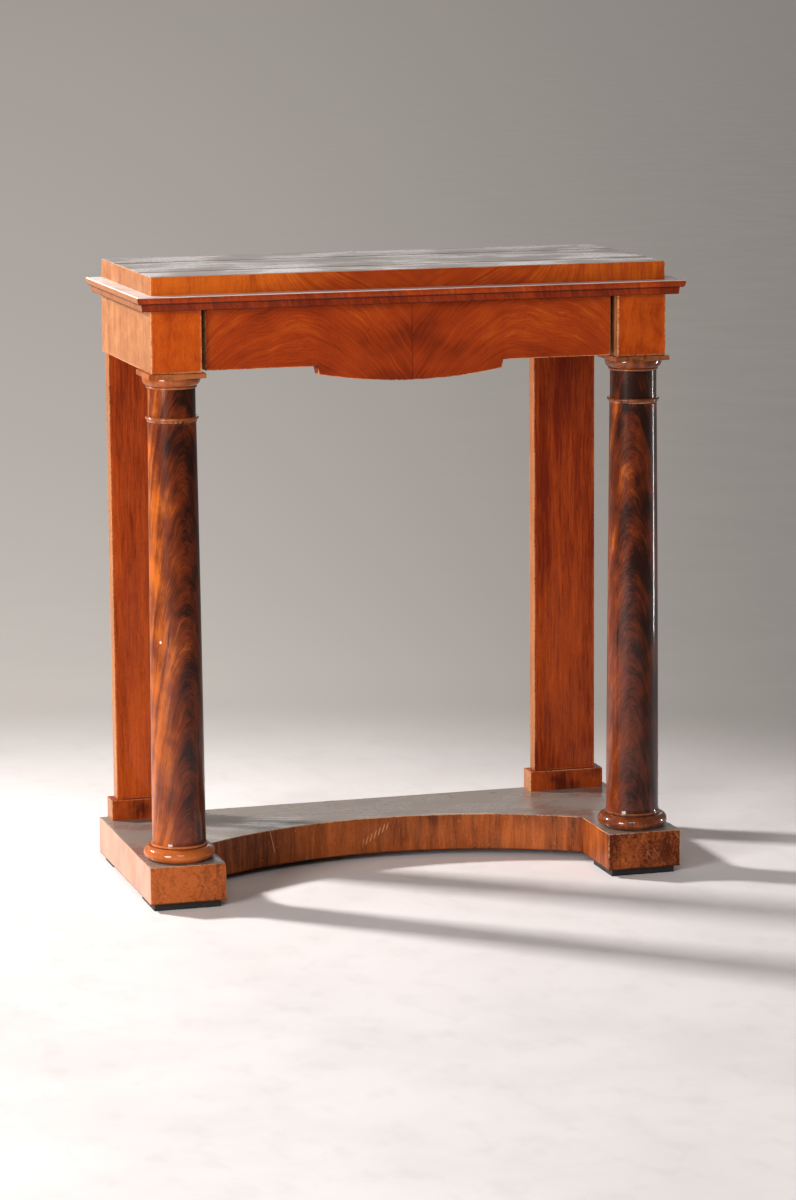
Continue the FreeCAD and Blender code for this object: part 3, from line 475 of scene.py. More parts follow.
def column_flame(look):
    """Dark crotch veneer: flames that arch over an upright line on each column's front, with
    painted light on the left of each column.
    """
    finish, x, y, z, point = begun("flame_mahogany_column")
    low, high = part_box("column_shaft_right")
    middle, radius = (low + high) / 2, (high.x - low.x) / 2
    side = x.sign()
    round_x = x - side * middle.x
    round_y = y - middle.y
    height = z - low.z
    left, right = math.radians(14), math.radians(-24)
    off_x = round_x - side.rise(-1, 1, radius * math.sin(left), radius * math.sin(right))
    off_y = round_y + side.rise(-1, 1, radius * math.cos(left), radius * math.cos(right))
    local = finish.vector(round_x, round_y, height + side * 0.31)
    sway = finish.clouds(local, 0.085, 2, 4) - 0.5
    lap = finish.clouds(local, 0.016, 2, 6) - 0.5
    arch = height + (off_x * off_x + off_y * off_y) * 75 + sway * 0.06 + lap * 0.006
    grain = finish.vector(arch, round_x + side * 0.2, round_y)
    broad = finish.streaks(grain, 0.055, 0.08, 2, 2)
    licks = finish.streaks(grain, 0.0050, 0.020, 3, 5)
    smoke = finish.clouds(finish.vector(round_x, round_y, height * 0.65 + side * 0.2), 0.034, 3, 15)
    # The left of each column is painted lighter: painted light from the left.
    column_painted_light = off_x.rise(-0.040, 0.008, 1, 0)
    near_foot = z.rise(0.15, 0.5, 1, 0)
    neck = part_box("column_neck_ring_right")[1].z
    flames = (broad - 0.5) * 1.3 + (licks - 0.5) * 0.6 + (smoke - 0.5) * 1.3
    figure = (0.19 + column_painted_light * side.rise(-1, 1, 0.46, 0.54) + flames * (1 - near_foot * 0.35)
              + near_foot * side.rise(-1, 1, 0.07, -0.05)
              - z.rise(neck - 0.001, neck + 0.001) * side.rise(-1, 1, 0.04, 0.3))
    gloss = z.rise(0.15, 0.6, 0.65, 0.3)
    wood = polished(finish, point, grain, figure,
                    (look.column_dark, look.column_mid, look.column_light), gloss, 0.35, 0.7, 0.6)
    for mark_x, mark_y, mark_z, wide, tall, over in SCARS:
        gap_x, gap_y = round_x - mark_x, round_y - mark_y
        aside = (gap_x * gap_x + gap_y * gap_y) ** 0.5 * (1 / wide)
        mark = aside.most(abs(z - mark_z) * (1 / tall)).rise(0.5, 1.0, 1, 0)
        finish.cover(mark * side.rise(-1, 1, 0.85, 0), getattr(look, over))
    return wood


def turned_wood(name, light, dark, gloss=0.9, edge=0.6):
    """Solid mahogany off the lathe, its grain upright through the piece, painted lighter on the
    left column.
    """
    finish, x, y, z, point = begun(name)
    sway = finish.clouds(point, 0.030, 2, 4) - 0.5
    grain = finish.vector(x + sway * 0.008, z + sway * 0.01, y)
    broad = finish.streaks(grain, 0.011, 0.07, 3, 4)
    # The left column's turned pieces are painted lighter, most at the foot and least at the
    # capital: painted light from the left.
    figure = (broad - 0.5) * 1.1 + 0.2 + x.rise(-0.2, 0.2, z.rise(0.2, 0.6, 0.76, 0.34), 0)
    return polished(finish, point, grain, figure, shades(dark, light), gloss, 0.4, edge)


def platform_edge(look):
    """The platform's sides: short upright grain, burr on the block fronts, knocks, scratches and
    painted shade along the foot.
    """
    finish, x, y, z, point = begun("base_mahogany_edge")
    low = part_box("base_cheek_left")[0]
    sway = finish.clouds(point, 0.050, 2, 4) - 0.5
    burr = y.rise(low.y + 0.0015, low.y + 0.003, 1, 0)
    curl = (finish.clouds(point, 0.013, 3, 6) - 0.5) * burr
    grain = finish.vector(x + sway * 0.006 + curl * 0.03, z + curl * 0.08, y + sway * 0.006)
    broad = finish.streaks(grain, 0.010, 0.13, 3, 2)
    patch = finish.clouds(point, 0.085, 2, 9)
    eyes = finish.clouds(point, 0.0075, 2, 14).rise(0.60, 0.70) * burr
    scratch_at = finish.vector(x * 0.8 + z * 0.6, z * 0.8 - x * 0.6, y)
    scratch = finish.streaks(scratch_at, 0.0016, 0.05, 1, 17).rise(0.74, 0.78)
    knots = (finish.clouds(point, 0.0045, 3, 23) - 0.5) * burr
    figure = (0.48 + (broad - 0.5) * 1.3 + (patch - 0.5) * 1.5 - eyes * 0.3 + knots * 1.2
              + burr * x.rise(-0.2, 0.2, 0.24, -0.16))
    wood = polished(finish, point, grain, figure, shades(look.base_dark, look.base_light),
                    0.12, 0.6, 0.9, 0.8)
    # The sides get pale bloom and a painted sheen.
    flank = abs(x).rise(-low.x - 0.0014, -low.x - 0.0004)
    bloom = finish.clouds(finish.vector(x, y, z * 0.5), 0.045, 3, 19).rise(0.25, 0.65, 0.60, 0.88)
    finish.cover(flank * bloom, look.chalky_bloom_and_sheen)
    strokes = ((x - z * 0.3) * 1250).sine().rise(0.4, 0.9) * abs(x + 0.007).rise(0.017, 0.021, 1, 0)
    strokes = strokes * abs(z - 0.043 - x * 0.65).rise(0.003, 0.006, 1, 0)
    cut = abs(x + 0.1715 + (z - 0.060) * 0.23).rise(0.0003, 0.0009, 1, 0) * z.rise(0.026, 0.034)
    rubbed = strokes.most(cut) * y.rise(0.05, 0.10, 0.7, 0)
    finish.cover(rubbed.most(scratch * 0.6), look.wear_and_edge_highlight)
    # Painted shade along the foot, where the gap under the board is dark.
    finish.cover(z.rise(low.z + 0.0008, low.z + 0.0026, 0.85, 0), look.pore)
    return wood


def pine(look, name, axis, light=None, dark=None):
    """Planed softwood, its rings seen as long lines along an axis."""
    finish = Finish(name)
    place = dict(zip("xyz", finish.place()))
    along = place.pop(axis)
    across, through = place.values()
    point = finish.vector(across, along, through)
    sway = finish.streaks(point, 0.05, 0.5, 2, 4) - 0.5
    rings = ((across + through * 0.9 + sway * 0.03) * 820).sine() * 0.5 + 0.5
    grain = finish.vector(across + sway * 0.01, along, through)
    fine = finish.streaks(grain, 0.0009, 0.04, 2)
    stain = finish.clouds(point, 0.09, 3, 6)
    late = rings.rise(0.45, 1.0) * 0.75 + (fine - 0.5) * 0.5
    wood = finish.layers(light or look.pine_light, (late, dark or look.pine_dark),
                         (stain.rise(0.5, 0.75) * 0.4, look.pine_dark))
    finish.shade(Base_Color=wood, Roughness=0.62 + fine * 0.2, Specular_IOR_Level=0.25)
    finish.dents(rings * 0.3 + fine * 0.5, 0.0003)
    return finish.material


def old_iron(look):
    finish = Finish("iron_old")
    point = finish.vector(*finish.place())
    rust = finish.clouds(point, 0.0016, 3).rise(0.48, 0.62)
    finish.shade(Base_Color=finish.mix(rust * 0.6, look.iron, look.turned_dark),
                 Roughness=0.42 + rust * 0.3, Metallic=1 - rust * 0.7)
    finish.dents(finish.clouds(point, 0.0007, 2, 3), 0.0001)
    return finish.material


def black_pad(look):
    finish = Finish("pad_black")
    point = finish.vector(*finish.place())
    scuff = finish.clouds(point, 0.006, 4).rise(0.5, 0.75)
    finish.shade(Base_Color=finish.mix(scuff * 0.35, look.pad, look.base_dark),
                 Roughness=0.6 + scuff * 0.25)
    finish.dents(finish.clouds(point, 0.0012, 2, 3) + scuff, 0.0003)
    return finish.material


def trace(bm, corners, arcs, closed=True):
    """Draws a line in the XZ plane through (x, z) corners.

    arcs: number of the corner where an arc starts -> (radius, turn, steps), with turn 1
    for an arc that runs anticlockwise and -1 for clockwise.
    """
    end = bm.verts.new((corners[0][0], 0, corners[0][1]))
    first = end
    for number in range(len(corners) if closed else len(corners) - 1):
        x, z = corners[(number + 1) % len(corners)]
        if number in arcs:
            radius, turn, steps = arcs[number]
            start, stop = Vector((end.co.x, end.co.z)), Vector((x, z))
            chord = stop - start
            rise = math.sqrt(max(radius ** 2 - (chord.length / 2) ** 2, 0))
            centre = (start + stop) / 2 + Vector((-chord.y, chord.x)).normalized() * rise * turn
            angle = -turn * 2 * math.asin(min(chord.length / 2 / radius, 1))
            made = bmesh.ops.spin(bm, geom=[end], cent=(centre.x, 0, centre.y), axis=(0, 1, 0),
                                  angle=angle, steps=steps)
            end = next(part for part in made["geom_last"] if isinstance(part, bmesh.types.BMVert))
        else:
            end = bmesh.ops.extrude_vert_indiv(bm, verts=[end])["verts"][0]
            end.co = (x, 0, z)
    if closed:
        bmesh.ops.pointmerge(bm, verts=[first, end], merge_co=first.co)


def arc_radius(rise, reach):
    """Radius of an arc that leaves its tangent by a rise over a reach."""
    return (rise ** 2 + reach ** 2) / (2 * rise)


def filled(corners, arcs):
    """A closed line in the XZ plane, filled with one face."""
    bm = bmesh.new()
    trace(bm, corners, arcs)
    bmesh.ops.contextual_create(bm, geom=bm.edges[:])
    return bm


def carry(bm, offset):
    bmesh.ops.translate(bm, vec=offset, verts=bm.verts)


def rotate(bm, angle, axis):
    bmesh.ops.rotate(bm, cent=(0, 0, 0), matrix=Matrix.Rotation(angle, 3, axis), verts=bm.verts)


def face_out(bm):
    bmesh.ops.recalc_face_normals(bm, faces=bm.faces[:])


def slice_at(bm, place, direction, clear=False):
    """Cuts everything along a plane and, where asked, clears what lies beyond it."""
    bmesh.ops.bisect_plane(bm, geom=bm.verts[:] + bm.edges[:] + bm.faces[:], dist=HAIR / 100,
                           plane_co=place, plane_no=direction, clear_outer=clear)


def draw_out(bm, offset):
    """Extrudes every face by an offset, to a closed solid."""
    made = bmesh.ops.extrude_face_region(bm, geom=bm.faces[:])["geom"]
    moved = [part for part in made if isinstance(part, bmesh.types.BMVert)]
    bmesh.ops.translate(bm, vec=offset, verts=moved)
    face_out(bm)


def bulge(bm):
    """Marks each vertex for its polish: up to 1 on an eased edge, for wear and a painted highlight,
    down to -1 in a hollow, for painted shade.
    """
    slight, span, square = 0.2, 0.3, 1.2
    layer = bm.verts.layers.float.new(WEAR_HIGHLIGHT_AND_SHADE)
    for vert in bm.verts:
        turns = [edge.calc_face_angle_signed(0) for edge in vert.link_edges if edge.is_manifold]
        out = max((turn for turn in turns if turn < square), default=0)
        hollow_shade = -min(turns, default=0)
        out, hollow_shade = (min(max((turn - slight) / span, 0), 1) for turn in (out, hollow_shade))
        vert[layer] = -hollow_shade if hollow_shade else out


def finished(bm, name, materials, slot, *nodes, smooth=15, pick=None, body="table"):
    """Turns a bmesh into a piece that rides on a body and stands for CAD nodes."""
    bulge(bm)
    mesh = bpy.data.meshes.new(name)
    for material in materials:
        mesh.materials.append(material)
    if pick:
        for face in bm.faces:
            face.material_index = pick(face)
    bm.to_mesh(mesh)
    bm.free()
    mesh.shade_smooth()
    mesh.set_sharp_from_angle(angle=math.radians(smooth))
    piece = bpy.data.objects.new(name, mesh)
    bpy.context.scene.collection.objects.link(piece)
    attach(piece, body)
    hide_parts(*nodes)


def ease(bm, sizes, chosen, flat_area=0.0004, segments=2, bite=1.0):
    """Eases the chosen edges, frames the flat faces with a worn border and lets the edges dip."""
    edges = [edge for edge in bm.edges if chosen(edge)]
    for edge in edges[:]:
        cuts = int(edge.calc_length() / sizes.edge_step)
        if cuts:
            made = bmesh.ops.subdivide_edges(bm, edges=[edge], cuts=cuts)["geom_inner"]
            edges += [part for vert in made if isinstance(vert, bmesh.types.BMVert)
                      for part in vert.link_edges]
    edges = [edge for edge in set(edges) if edge.is_valid]
    edges.sort(key=lambda edge: tuple(edge.verts[0].co) + tuple(edge.verts[1].co))
    bmesh.ops.bevel(bm, geom=edges, offset=sizes.edge_round, affect="EDGES", segments=segments,
                    profile=0.5, material=-1, clamp_overlap=True)
    flats = [face for face in bm.faces if face.calc_area() > flat_area
             and min(edge.calc_length() for edge in face.edges) > sizes.edge_round]
    bmesh.ops.inset_individual(bm, faces=flats, thickness=sizes.worn_border, use_even_offset=True)
    inner = {vert for face in flats for vert in face.verts}
    dip(bm, [vert for vert in bm.verts if vert not in inner], sizes.edge_bite * bite)


def dip(bm, verts, depth, pitch=0.019, shift=0.0):
    """Wears rounded edges back by up to a depth, unevenly, along the edge's own diagonal."""
    slight, deep, shallow = 0.2, 2.2, 0.35
    bm.normal_update()
    moves = []
    for vert in verts:
        turns = [edge.calc_face_angle_signed(0) for edge in vert.link_edges if edge.is_manifold]
        if max(turns, default=0) < slight:
            continue
        spot = vert.co / pitch + Vector((shift, 3.7, 1.3))
        knock = (max(noise.noise(spot * 1.7) - 0.28, 0) * deep
                 + max(noise.noise(spot * 0.5), 0) * shallow)
        moves.append((vert, vert.normal * -depth * knock))
    for vert, move in moves:
        vert.co += move


def block(low, high):
    """A square block between two corners."""
    bm = bmesh.new()
    bmesh.ops.create_cube(bm, size=1)
    low, high = Vector(low), Vector(high)
    bmesh.ops.scale(bm, vec=high - low, verts=bm.verts)
    carry(bm, (low + high) / 2)
    return bm


def at(edge, axis, value):
    """Tells whether both ends of an edge lie at a value on an axis."""
    return all(abs(vert.co[axis] - value) < HAIR / 2 for vert in edge.verts)


def turned(corners, arcs, sizes, middle, foot):
    """A closed turning from (radius, height) corners that start and end on its axis."""
    bm = bmesh.new()
    trace(bm, corners, arcs, closed=False)
    bmesh.ops.spin(bm, geom=bm.verts[:] + bm.edges[:], cent=(0, 0, 0), axis=(0, 0, 1),
                   angle=2 * math.pi, steps=sizes.turning_steps, use_merge=True)
    bmesh.ops.remove_doubles(bm, verts=bm.verts[:], dist=HAIR / 10)
    face_out(bm)
    carry(bm, (middle.x, middle.y, foot))
    return bm


class PIERTABLE_OT_platform(bpy.types.Operator):
    """Builds the platform with its concave front as one veneered board"""

    bl_idname = "pier_table.platform"
    bl_label = "Platform"

    def execute(self, context):
        sizes, look = sizes_and_look(context)
        low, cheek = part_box("base_cheek_left")
        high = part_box("base_rear_rail")[1]
        inner, reach = cheek.x, low.y + sizes.block_reach
        corners = [(low.x, low.y), (inner, low.y), (inner, reach), (-inner, reach),
                   (-inner, low.y), (-low.x, low.y), (-low.x, high.y), (low.x, high.y)]
        bm = filled(corners, {2: (arc_radius(sizes.curve_rise, inner), -1, 72)})
        rotate(bm, -math.pi / 2, "X")
        carry(bm, (0, 0, low.z))
        draw_out(bm, (0, 0, cheek.z - low.z))
        sharp, level = 0.5, 0.8

        def eased(edge):
            return not at(edge, 1, high.y) and edge.calc_face_angle(0) > sharp

        def side(face):
            return 1 if face.normal.z > level else 2 if face.normal.z < -level else 0

        ease(bm, sizes, eased, 0.0008, 3, 2.2)
        materials = [platform_edge(look),
                     board_top("base_mahogany_top", "base_rear_rail", (), 0.95, look.base_dust,
                               stain=0.8),
                     pine(look, "platform_underside", "x", look.turned_dark, look.base_dark)]
        finished(bm, "platform", materials, "base_mahogany", "base_cheek_left", "base_cheek_right",
                 "base_middle_board", "base_rear_rail", smooth=BOARD_ANGLE, pick=side)
        return {"FINISHED"}


class PIERTABLE_OT_columns(bpy.types.Operator):
    """Turns both columns: base, shaft, neck ring, capital and abacus"""

    bl_idname = "pier_table.columns"
    bl_label = "Columns"

    def execute(self, context):
        sizes, look = sizes_and_look(context)
        flame = column_flame(look)
        ring_wood = turned_wood("turned_mahogany_rings", look.turned_light, look.turned_dark)
        abacus_wood = turned_wood("mahogany_abacus", look.turned_light, look.turned_dark, 0.5, 0.2)
        for side in SIDES:
            boxes = {part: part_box(f"column_{part}_{side}")
                     for part in ("base", "shaft", "neck_ring", "capital", "abacus")}
            middle = (boxes["base"][0] + boxes["base"][1]) / 2
            for name, part, outline in (
                    ("torus", "base", self.base(sizes, *boxes["base"])),
                    ("shaft", "shaft", self.shaft(sizes, boxes)),
                    ("neck_ring", "neck_ring", self.neck_ring(*boxes["neck_ring"])),
                    ("capital", "capital", self.capital(sizes, *boxes["capital"]))):
                wood, slot = ((flame, "flame_mahogany_dark") if part == "shaft"
                              else (ring_wood, "turned_mahogany"))
                finished(turned(*outline, sizes, middle, boxes[part][0].z), f"{name}_{side}",
                         [wood], slot, f"column_{part}_{side}", smooth=TURNED_ANGLE)
            bm = block(*boxes["abacus"])
            ease(bm, sizes, lambda edge: True, 0.0004)
            finished(bm, f"abacus_{side}", [abacus_wood], "turned_mahogany",
                     f"column_abacus_{side}")
        return {"FINISHED"}

    def base(self, sizes, low, high):
        """Corners and arcs of the torus with the thin ring over it."""
        round_part, soft = sizes.torus_height / 2, 0.0016
        core = (high.x - low.x) / 2 - round_part
        ring, head = sizes.base_ring_diameter / 2, high.z - low.z
        return ([(0, 0), (core, 0), (core, sizes.torus_height), (ring, sizes.torus_height),
                 (ring, head - soft), (ring - soft, head), (0, head)],
                {1: (round_part, 1, 20), 4: (soft, 1, 5)})

    def shaft(self, sizes, boxes):
        """Corners and arcs of the shaft: a spigot, the flared foot, the lip, the neck, a spigot."""
        foot, top = (corner.z for corner in boxes["shaft"])
        end, base_head = top - foot, boxes["base"][1].z - foot
        ring_foot, neck_head = (boxes[part][0].z - foot for part in ("neck_ring", "capital"))
        spigot, neck, lip = (width / 2 for width in (sizes.spigot_diameter, sizes.neck_diameter,
                                                     sizes.lip_diameter))
        foot_radius, head_radius = sizes.shaft_foot_diameter / 2, sizes.shaft_head_diameter / 2
        lip_foot = ring_foot - sizes.lip_height
        flare, flare_height, cove_height, soft, near = 0.001, 0.006, 0.004, 0.0005, 0.002
        corners = [(0, 0), (spigot, 0), (spigot, base_head), (foot_radius + flare, base_head),
                   (foot_radius, base_head + flare_height)]
        rows, swell = 24, 0.0004
        reach = lip_foot - cove_height - base_head - flare_height
        for row in range(1, rows + 1):
            share = row / rows
            radius = foot_radius + (head_radius - foot_radius) * share
            corners.append((radius + swell * math.sin(math.pi * share),
                            base_head + flare_height + reach * share))
        lip_start = len(corners) - 1
        corners += [(lip, lip_foot), (lip, ring_foot - soft), (lip - soft, ring_foot),
                    (neck, ring_foot), (neck, ring_foot + near), (neck, neck_head - near),
                    (neck, neck_head), (spigot, neck_head), (spigot, end), (0, end)]
        return corners, {3: (arc_radius(flare, flare_height), -1, 5),
                         lip_start: (arc_radius(lip - head_radius, cove_height), -1, 6),
                         lip_start + 2: (soft, 1, 3)}

    def neck_ring(self, low, high):
        """Corners and arc of a half-round bead."""
        bead = (high.z - low.z) / 2
        core = (high.x - low.x) / 2 - bead
        return [(0, 0), (core, 0), (core, 2 * bead), (0, 2 * bead)], {1: (bead, 1, 14)}

    def capital(self, sizes, low, high):
        """Corners and arcs of the thin ring and the echinus over it."""
        width, head = (high.x - low.x) / 2, high.z - low.z
        ring, ring_head = sizes.capital_ring_diameter / 2, sizes.capital_ring_height
        foot, curve = sizes.capital_foot_diameter / 2, sizes.capital_curve_height
        bead, soft = ring_head / 2, 0.0006
        return ([(0, 0), (ring - bead, 0), (ring - bead, ring_head), (foot, ring_head),
                 (width, ring_head + curve), (width, head - soft), (width - soft, head), (0, head)],
                {1: (bead, 1, 10), 3: (arc_radius(width - foot, curve), 1, 18), 5: (soft, 1, 3)})


class PIERTABLE_OT_pilasters(bpy.types.Operator):
    """Builds the flat rear supports and their shoes"""

    bl_idname = "pier_table.pilasters"
    bl_label = "Pilasters"

    def execute(self, context):
        sizes, look = sizes_and_look(context)
        wood = upright_veneer(look, "plain_mahogany_upright", look.plain_light, look.plain_dark,
                              swirl=0.004, lines=1.0, cloudy=0.3, fade=0.20, edge=0.3)
        grimy = shades(look.plain_dark, look.pore)[1]
        shoe_wood = upright_veneer(look, "plain_mahogany_shoe", look.plain_light, grimy,
                                   swirl=0.004)
        back_wood = pine(look, "plain_mahogany_back", "x", look.plain_light, look.plain_dark)
        frieze_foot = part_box("back_rail")[0].z
        long = 0.1
        for side in SIDES:
            low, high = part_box(f"pilaster_{side}")
            shoe_low, shoe_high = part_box(f"pilaster_shoe_{side}")
            bm = block((low.x, low.y, shoe_high.z), (high.x, high.y, frieze_foot))
            ease(bm, sizes, lambda edge: abs(edge.verts[0].co.z - edge.verts[1].co.z) > long, 0.002,
                 bite=0.4)
            finished(bm, f"upright_{side}", [wood], "plain_mahogany", f"pilaster_{side}")
            bm = block(shoe_low, shoe_high)

            def seen(edge, back=shoe_high.y, floor=shoe_low.z):
                return not at(edge, 1, back) and not at(edge, 2, floor)

            ease(bm, sizes, seen, 0.0008, 3, 1.4)
            finished(bm, f"shoe_{side}", [shoe_wood, back_wood], "plain_mahogany",
                     f"pilaster_shoe_{side}", pick=lambda face: int(face.normal.y > 0.9))
        return {"FINISHED"}


class PIERTABLE_OT_frieze(bpy.types.Operator):
    """Builds the corner blocks and the side aprons"""

    bl_idname = "pier_table.frieze"
    bl_label = "Frieze"

    def execute(self, context):
        sizes, look = sizes_and_look(context)
        veneer = upright_veneer(look, "mahogany_frieze", look.block_light, look.block_dark, 0.022)
        for side, sign in SIDES.items():
            low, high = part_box(f"corner_block_{side}")
            outer = high.x if sign > 0 else low.x
            bm = block(low, high)

            def seen(edge, rear=high.y, head=high.z, front=low.y, outer=outer):
                on_face = at(edge, 1, front) or at(edge, 0, outer)
                return on_face and not at(edge, 1, rear) and not at(edge, 2, head)

            ease(bm, sizes, seen, 0.001, 2, 1.0)
            finished(bm, f"block_{side}", [veneer], "flame_mahogany", f"corner_block_{side}")
            block_rear = high.y
            low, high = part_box(f"side_apron_{side}")
            bm = block((low.x, block_rear, low.z), high)

            def foot(edge, outer=outer, floor=low.z):
                return at(edge, 2, floor) and at(edge, 0, outer)

            ease(bm, sizes, foot, 0.004, 2, 1.0)
            finished(bm, f"apron_{side}", [veneer], "flame_mahogany", f"side_apron_{side}")
        return {"FINISHED"}


class PIERTABLE_OT_drawer_front(bpy.types.Operator):
    """Builds the drawer front with its hanging lobe"""

    bl_idname = "pier_table.drawer_front"
    bl_label = "Drawer front"

    def execute(self, context):
        sizes, look = sizes_and_look(context)
        low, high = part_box("drawer_front")
        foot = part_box("drawer_runner_left")[0].z
        half = high.x - HAIR
        lobe, tip = sizes.drop_width / 2, sizes.drop_width / 2 - sizes.drop_lean
        rise = foot - sizes.drop_step - low.z
        corners = [(-half, foot), (-lobe, foot), (-tip, foot - sizes.drop_step),
                   (tip, foot - sizes.drop_step), (lobe, foot), (half, foot), (half, high.z),
                   (-half, high.z)]
        bm = filled(corners, {2: (arc_radius(rise, tip), 1, 48)})
        carry(bm, (0, low.y, 0))
        draw_out(bm, (0, high.y - low.y, 0))
        ease(bm, sizes, lambda edge: at(edge, 1, low.y) and not at(edge, 2, high.z), 0.001, 3, 0.7)
        materials = [flame_front(look), pine(look, "drawer_front_core", "x")]

        def side(face):
            return 1 if face.normal.y > 0.5 or abs(face.normal.x) > 0.999 else 0

        finished(bm, "drawer_face", materials, "flame_mahogany", "drawer_front",
                 smooth=BOARD_ANGLE, pick=side, body="drawer")
        return {"FINISHED"}


class PIERTABLE_OT_cornice(bpy.types.Operator):
    """Builds the two-step moulding on three sides, mitred at the front corners"""

    bl_idname = "pier_table.cornice"
    bl_label = "Cornice"

    def execute(self, context):
        sizes, look = sizes_and_look(context)
        low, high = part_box("cornice_front")
        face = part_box("corner_block_left")[0]
        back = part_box("cornice_left")[1].y
        out, rise = face.y - low.y, high.z - low.z
        lap = high.y - face.y
        soft, near, border, step = 0.0012, 0.001, 0.003, sizes.lower_height
        lower, lean = sizes.lower_overhang, sizes.lower_lean
        corners = [(-lap, 0), (lower - lean - near, 0), (lower - lean, 0),
                   (lower - lean * 0.9, step * 0.1), (lower - lean * 0.1, step * 0.9),
                   (lower, step), (lower + near, step), (out - sizes.cove, step),
                   (out, rise - sizes.nose), (out, rise - soft), (out - soft, rise),
                   (out - border, rise), (-lap, rise)]
        arcs = {7: (arc_radius(sizes.cove, rise - step - sizes.nose), 1, 6), 9: (soft, 1, 4)}

        def strip(angle, start, offset):
            """A length of moulding, drawn out from a start."""
            bm = filled(corners, arcs)
            rotate(bm, angle, "Z")
            carry(bm, start)
            draw_out(bm, offset)
            return bm

        def mitre(bm, sign, keep_front):
            """Cuts an end at 45 degrees and closes it."""
            outward = Vector((sign, 1, 0)) * (1 if keep_front else -1)
            slice_at(bm, (sign * -face.x, face.y, 0), outward, clear=True)
            bmesh.ops.holes_fill(bm, edges=[edge for edge in bm.edges if edge.is_boundary], sides=0)

        def age(bm, shift):
            """Divides the moulding along its length and wears its nose."""
            long, pitch, depth, spacing = 0.2, 0.008, 0.0009, 0.024
            bmesh.ops.triangulate(bm, faces=[face for face in bm.faces if len(face.verts) > 4])
            long_edges = [edge for edge in bm.edges if edge.calc_length() > long]
            cuts = int(max(edge.calc_length() for edge in long_edges) / pitch)
            bmesh.ops.subdivide_edges(bm, edges=long_edges, cuts=cuts)
            face_out(bm)
            dip(bm, bm.verts[:], depth, spacing, shift)

        front = strip(-math.pi / 2, (low.x, face.y, low.z), (high.x - low.x, 0, 0))
        for sign in SIDES.values():
            mitre(front, sign, True)
        age(front, 0.0)
        front_wood = banded(look, "mahogany_cornice", "x")
        side_wood = banded(look, "mahogany_cornice_side", "y")
        left = strip(math.pi, (face.x, low.y, low.z), (0, back - low.y, 0))
        mitre(left, -1, False)
        right = left.copy()
        age(left, 5.0)
        bmesh.ops.scale(right, vec=(-1, 1, 1), verts=right.verts)
        face_out(right)
        age(right, 9.0)
        for place, bm, wood in (("front", front, front_wood), ("left", left, side_wood),
                                ("right", right, side_wood)):
            finished(bm, f"moulding_{place}", [wood], "flame_mahogany", f"cornice_{place}",
                     smooth=MOULDING_ANGLE)
        return {"FINISHED"}


class PIERTABLE_OT_raised_top(bpy.types.Operator):
    """Builds the raised top with its veneered band and two shrinkage cracks"""

    bl_idname = "pier_table.raised_top"
    bl_label = "Raised top"

    def execute(self, context):
        sizes, look = sizes_and_look(context)
        low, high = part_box("top_rail_front")[0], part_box("top_panel")[1]
        bm = block(low, high)

        def seen(edge):
            return not at(edge, 1, high.y) and not at(edge, 2, low.z)

        ease(bm, sizes, seen, 0.002, 3, 1.2)
        for share in SEAM_SHARES:
            self.crack(bm, sizes, low, high, share)
        materials = [feathered(look),
                     board_top("mahogany_top", "top_panel", SEAM_SHARES, 0.85, look.top_dust),
                     upright_veneer(look, "mahogany_band_side", look.block_light, look.block_dark),
                     pine(look, "top_underside", "x")]
        level, aside = 0.6, 0.7

        def side(face):
            if face.normal.z > level:
                return 1
            if face.normal.z < -level or face.normal.y > level:
                return 3
            return 2 if abs(face.normal.x) > aside else 0

        finished(bm, "raised_top", materials, "flame_mahogany", "top_panel", "top_rail_front",
                 "top_rail_back", "top_rail_left", "top_rail_right", smooth=BOARD_ANGLE, pick=side)
        return {"FINISHED"}

    def crack(self, bm, sizes, low, high, share):
        """A shallow groove across the whole width, where two boards have shrunk apart."""
        y = low.y + (high.y - low.y) * share
        for step in (-1, 0, 1):
            slice_at(bm, (0, y + step * sizes.groove_width / 2, 0), (0, 1, 0))
        for vert in bm.verts:
            if abs(vert.co.y - y) < HAIR and vert.co.z > high.z - sizes.edge_round / 2:
                vert.co.z -= sizes.groove_depth


class PIERTABLE_OT_hidden_wood(bpy.types.Operator):
    """Finishes the boards, dowels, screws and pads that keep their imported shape"""

    bl_idname = "pier_table.hidden_wood"
    bl_label = "Hidden wood"

    def execute(self, context):
        look = context.scene.pier_table_colours
        along_x, along_y = pine(look, "pine_long", "x"), pine(look, "pine_deep", "y")
        stuffs = {"screws": old_iron(look), "foot_pad": black_pad(look),
                  "base_dowels": pine(look, "beech_dowel", "y", look.beech, look.pine_dark)}
        for kind in ("drawer_side", "drawer_runner", "drawer_guide", "drawer_stop", "glue_blocks",
                     "top_batten"):
            stuffs[kind] = along_y
        for name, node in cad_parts.items():
            wood = next((stuff for kind, stuff in stuffs.items() if kind in name), along_x)
            for slot in node.material_slots:
                slot.material = wood
        return {"FINISHED"}


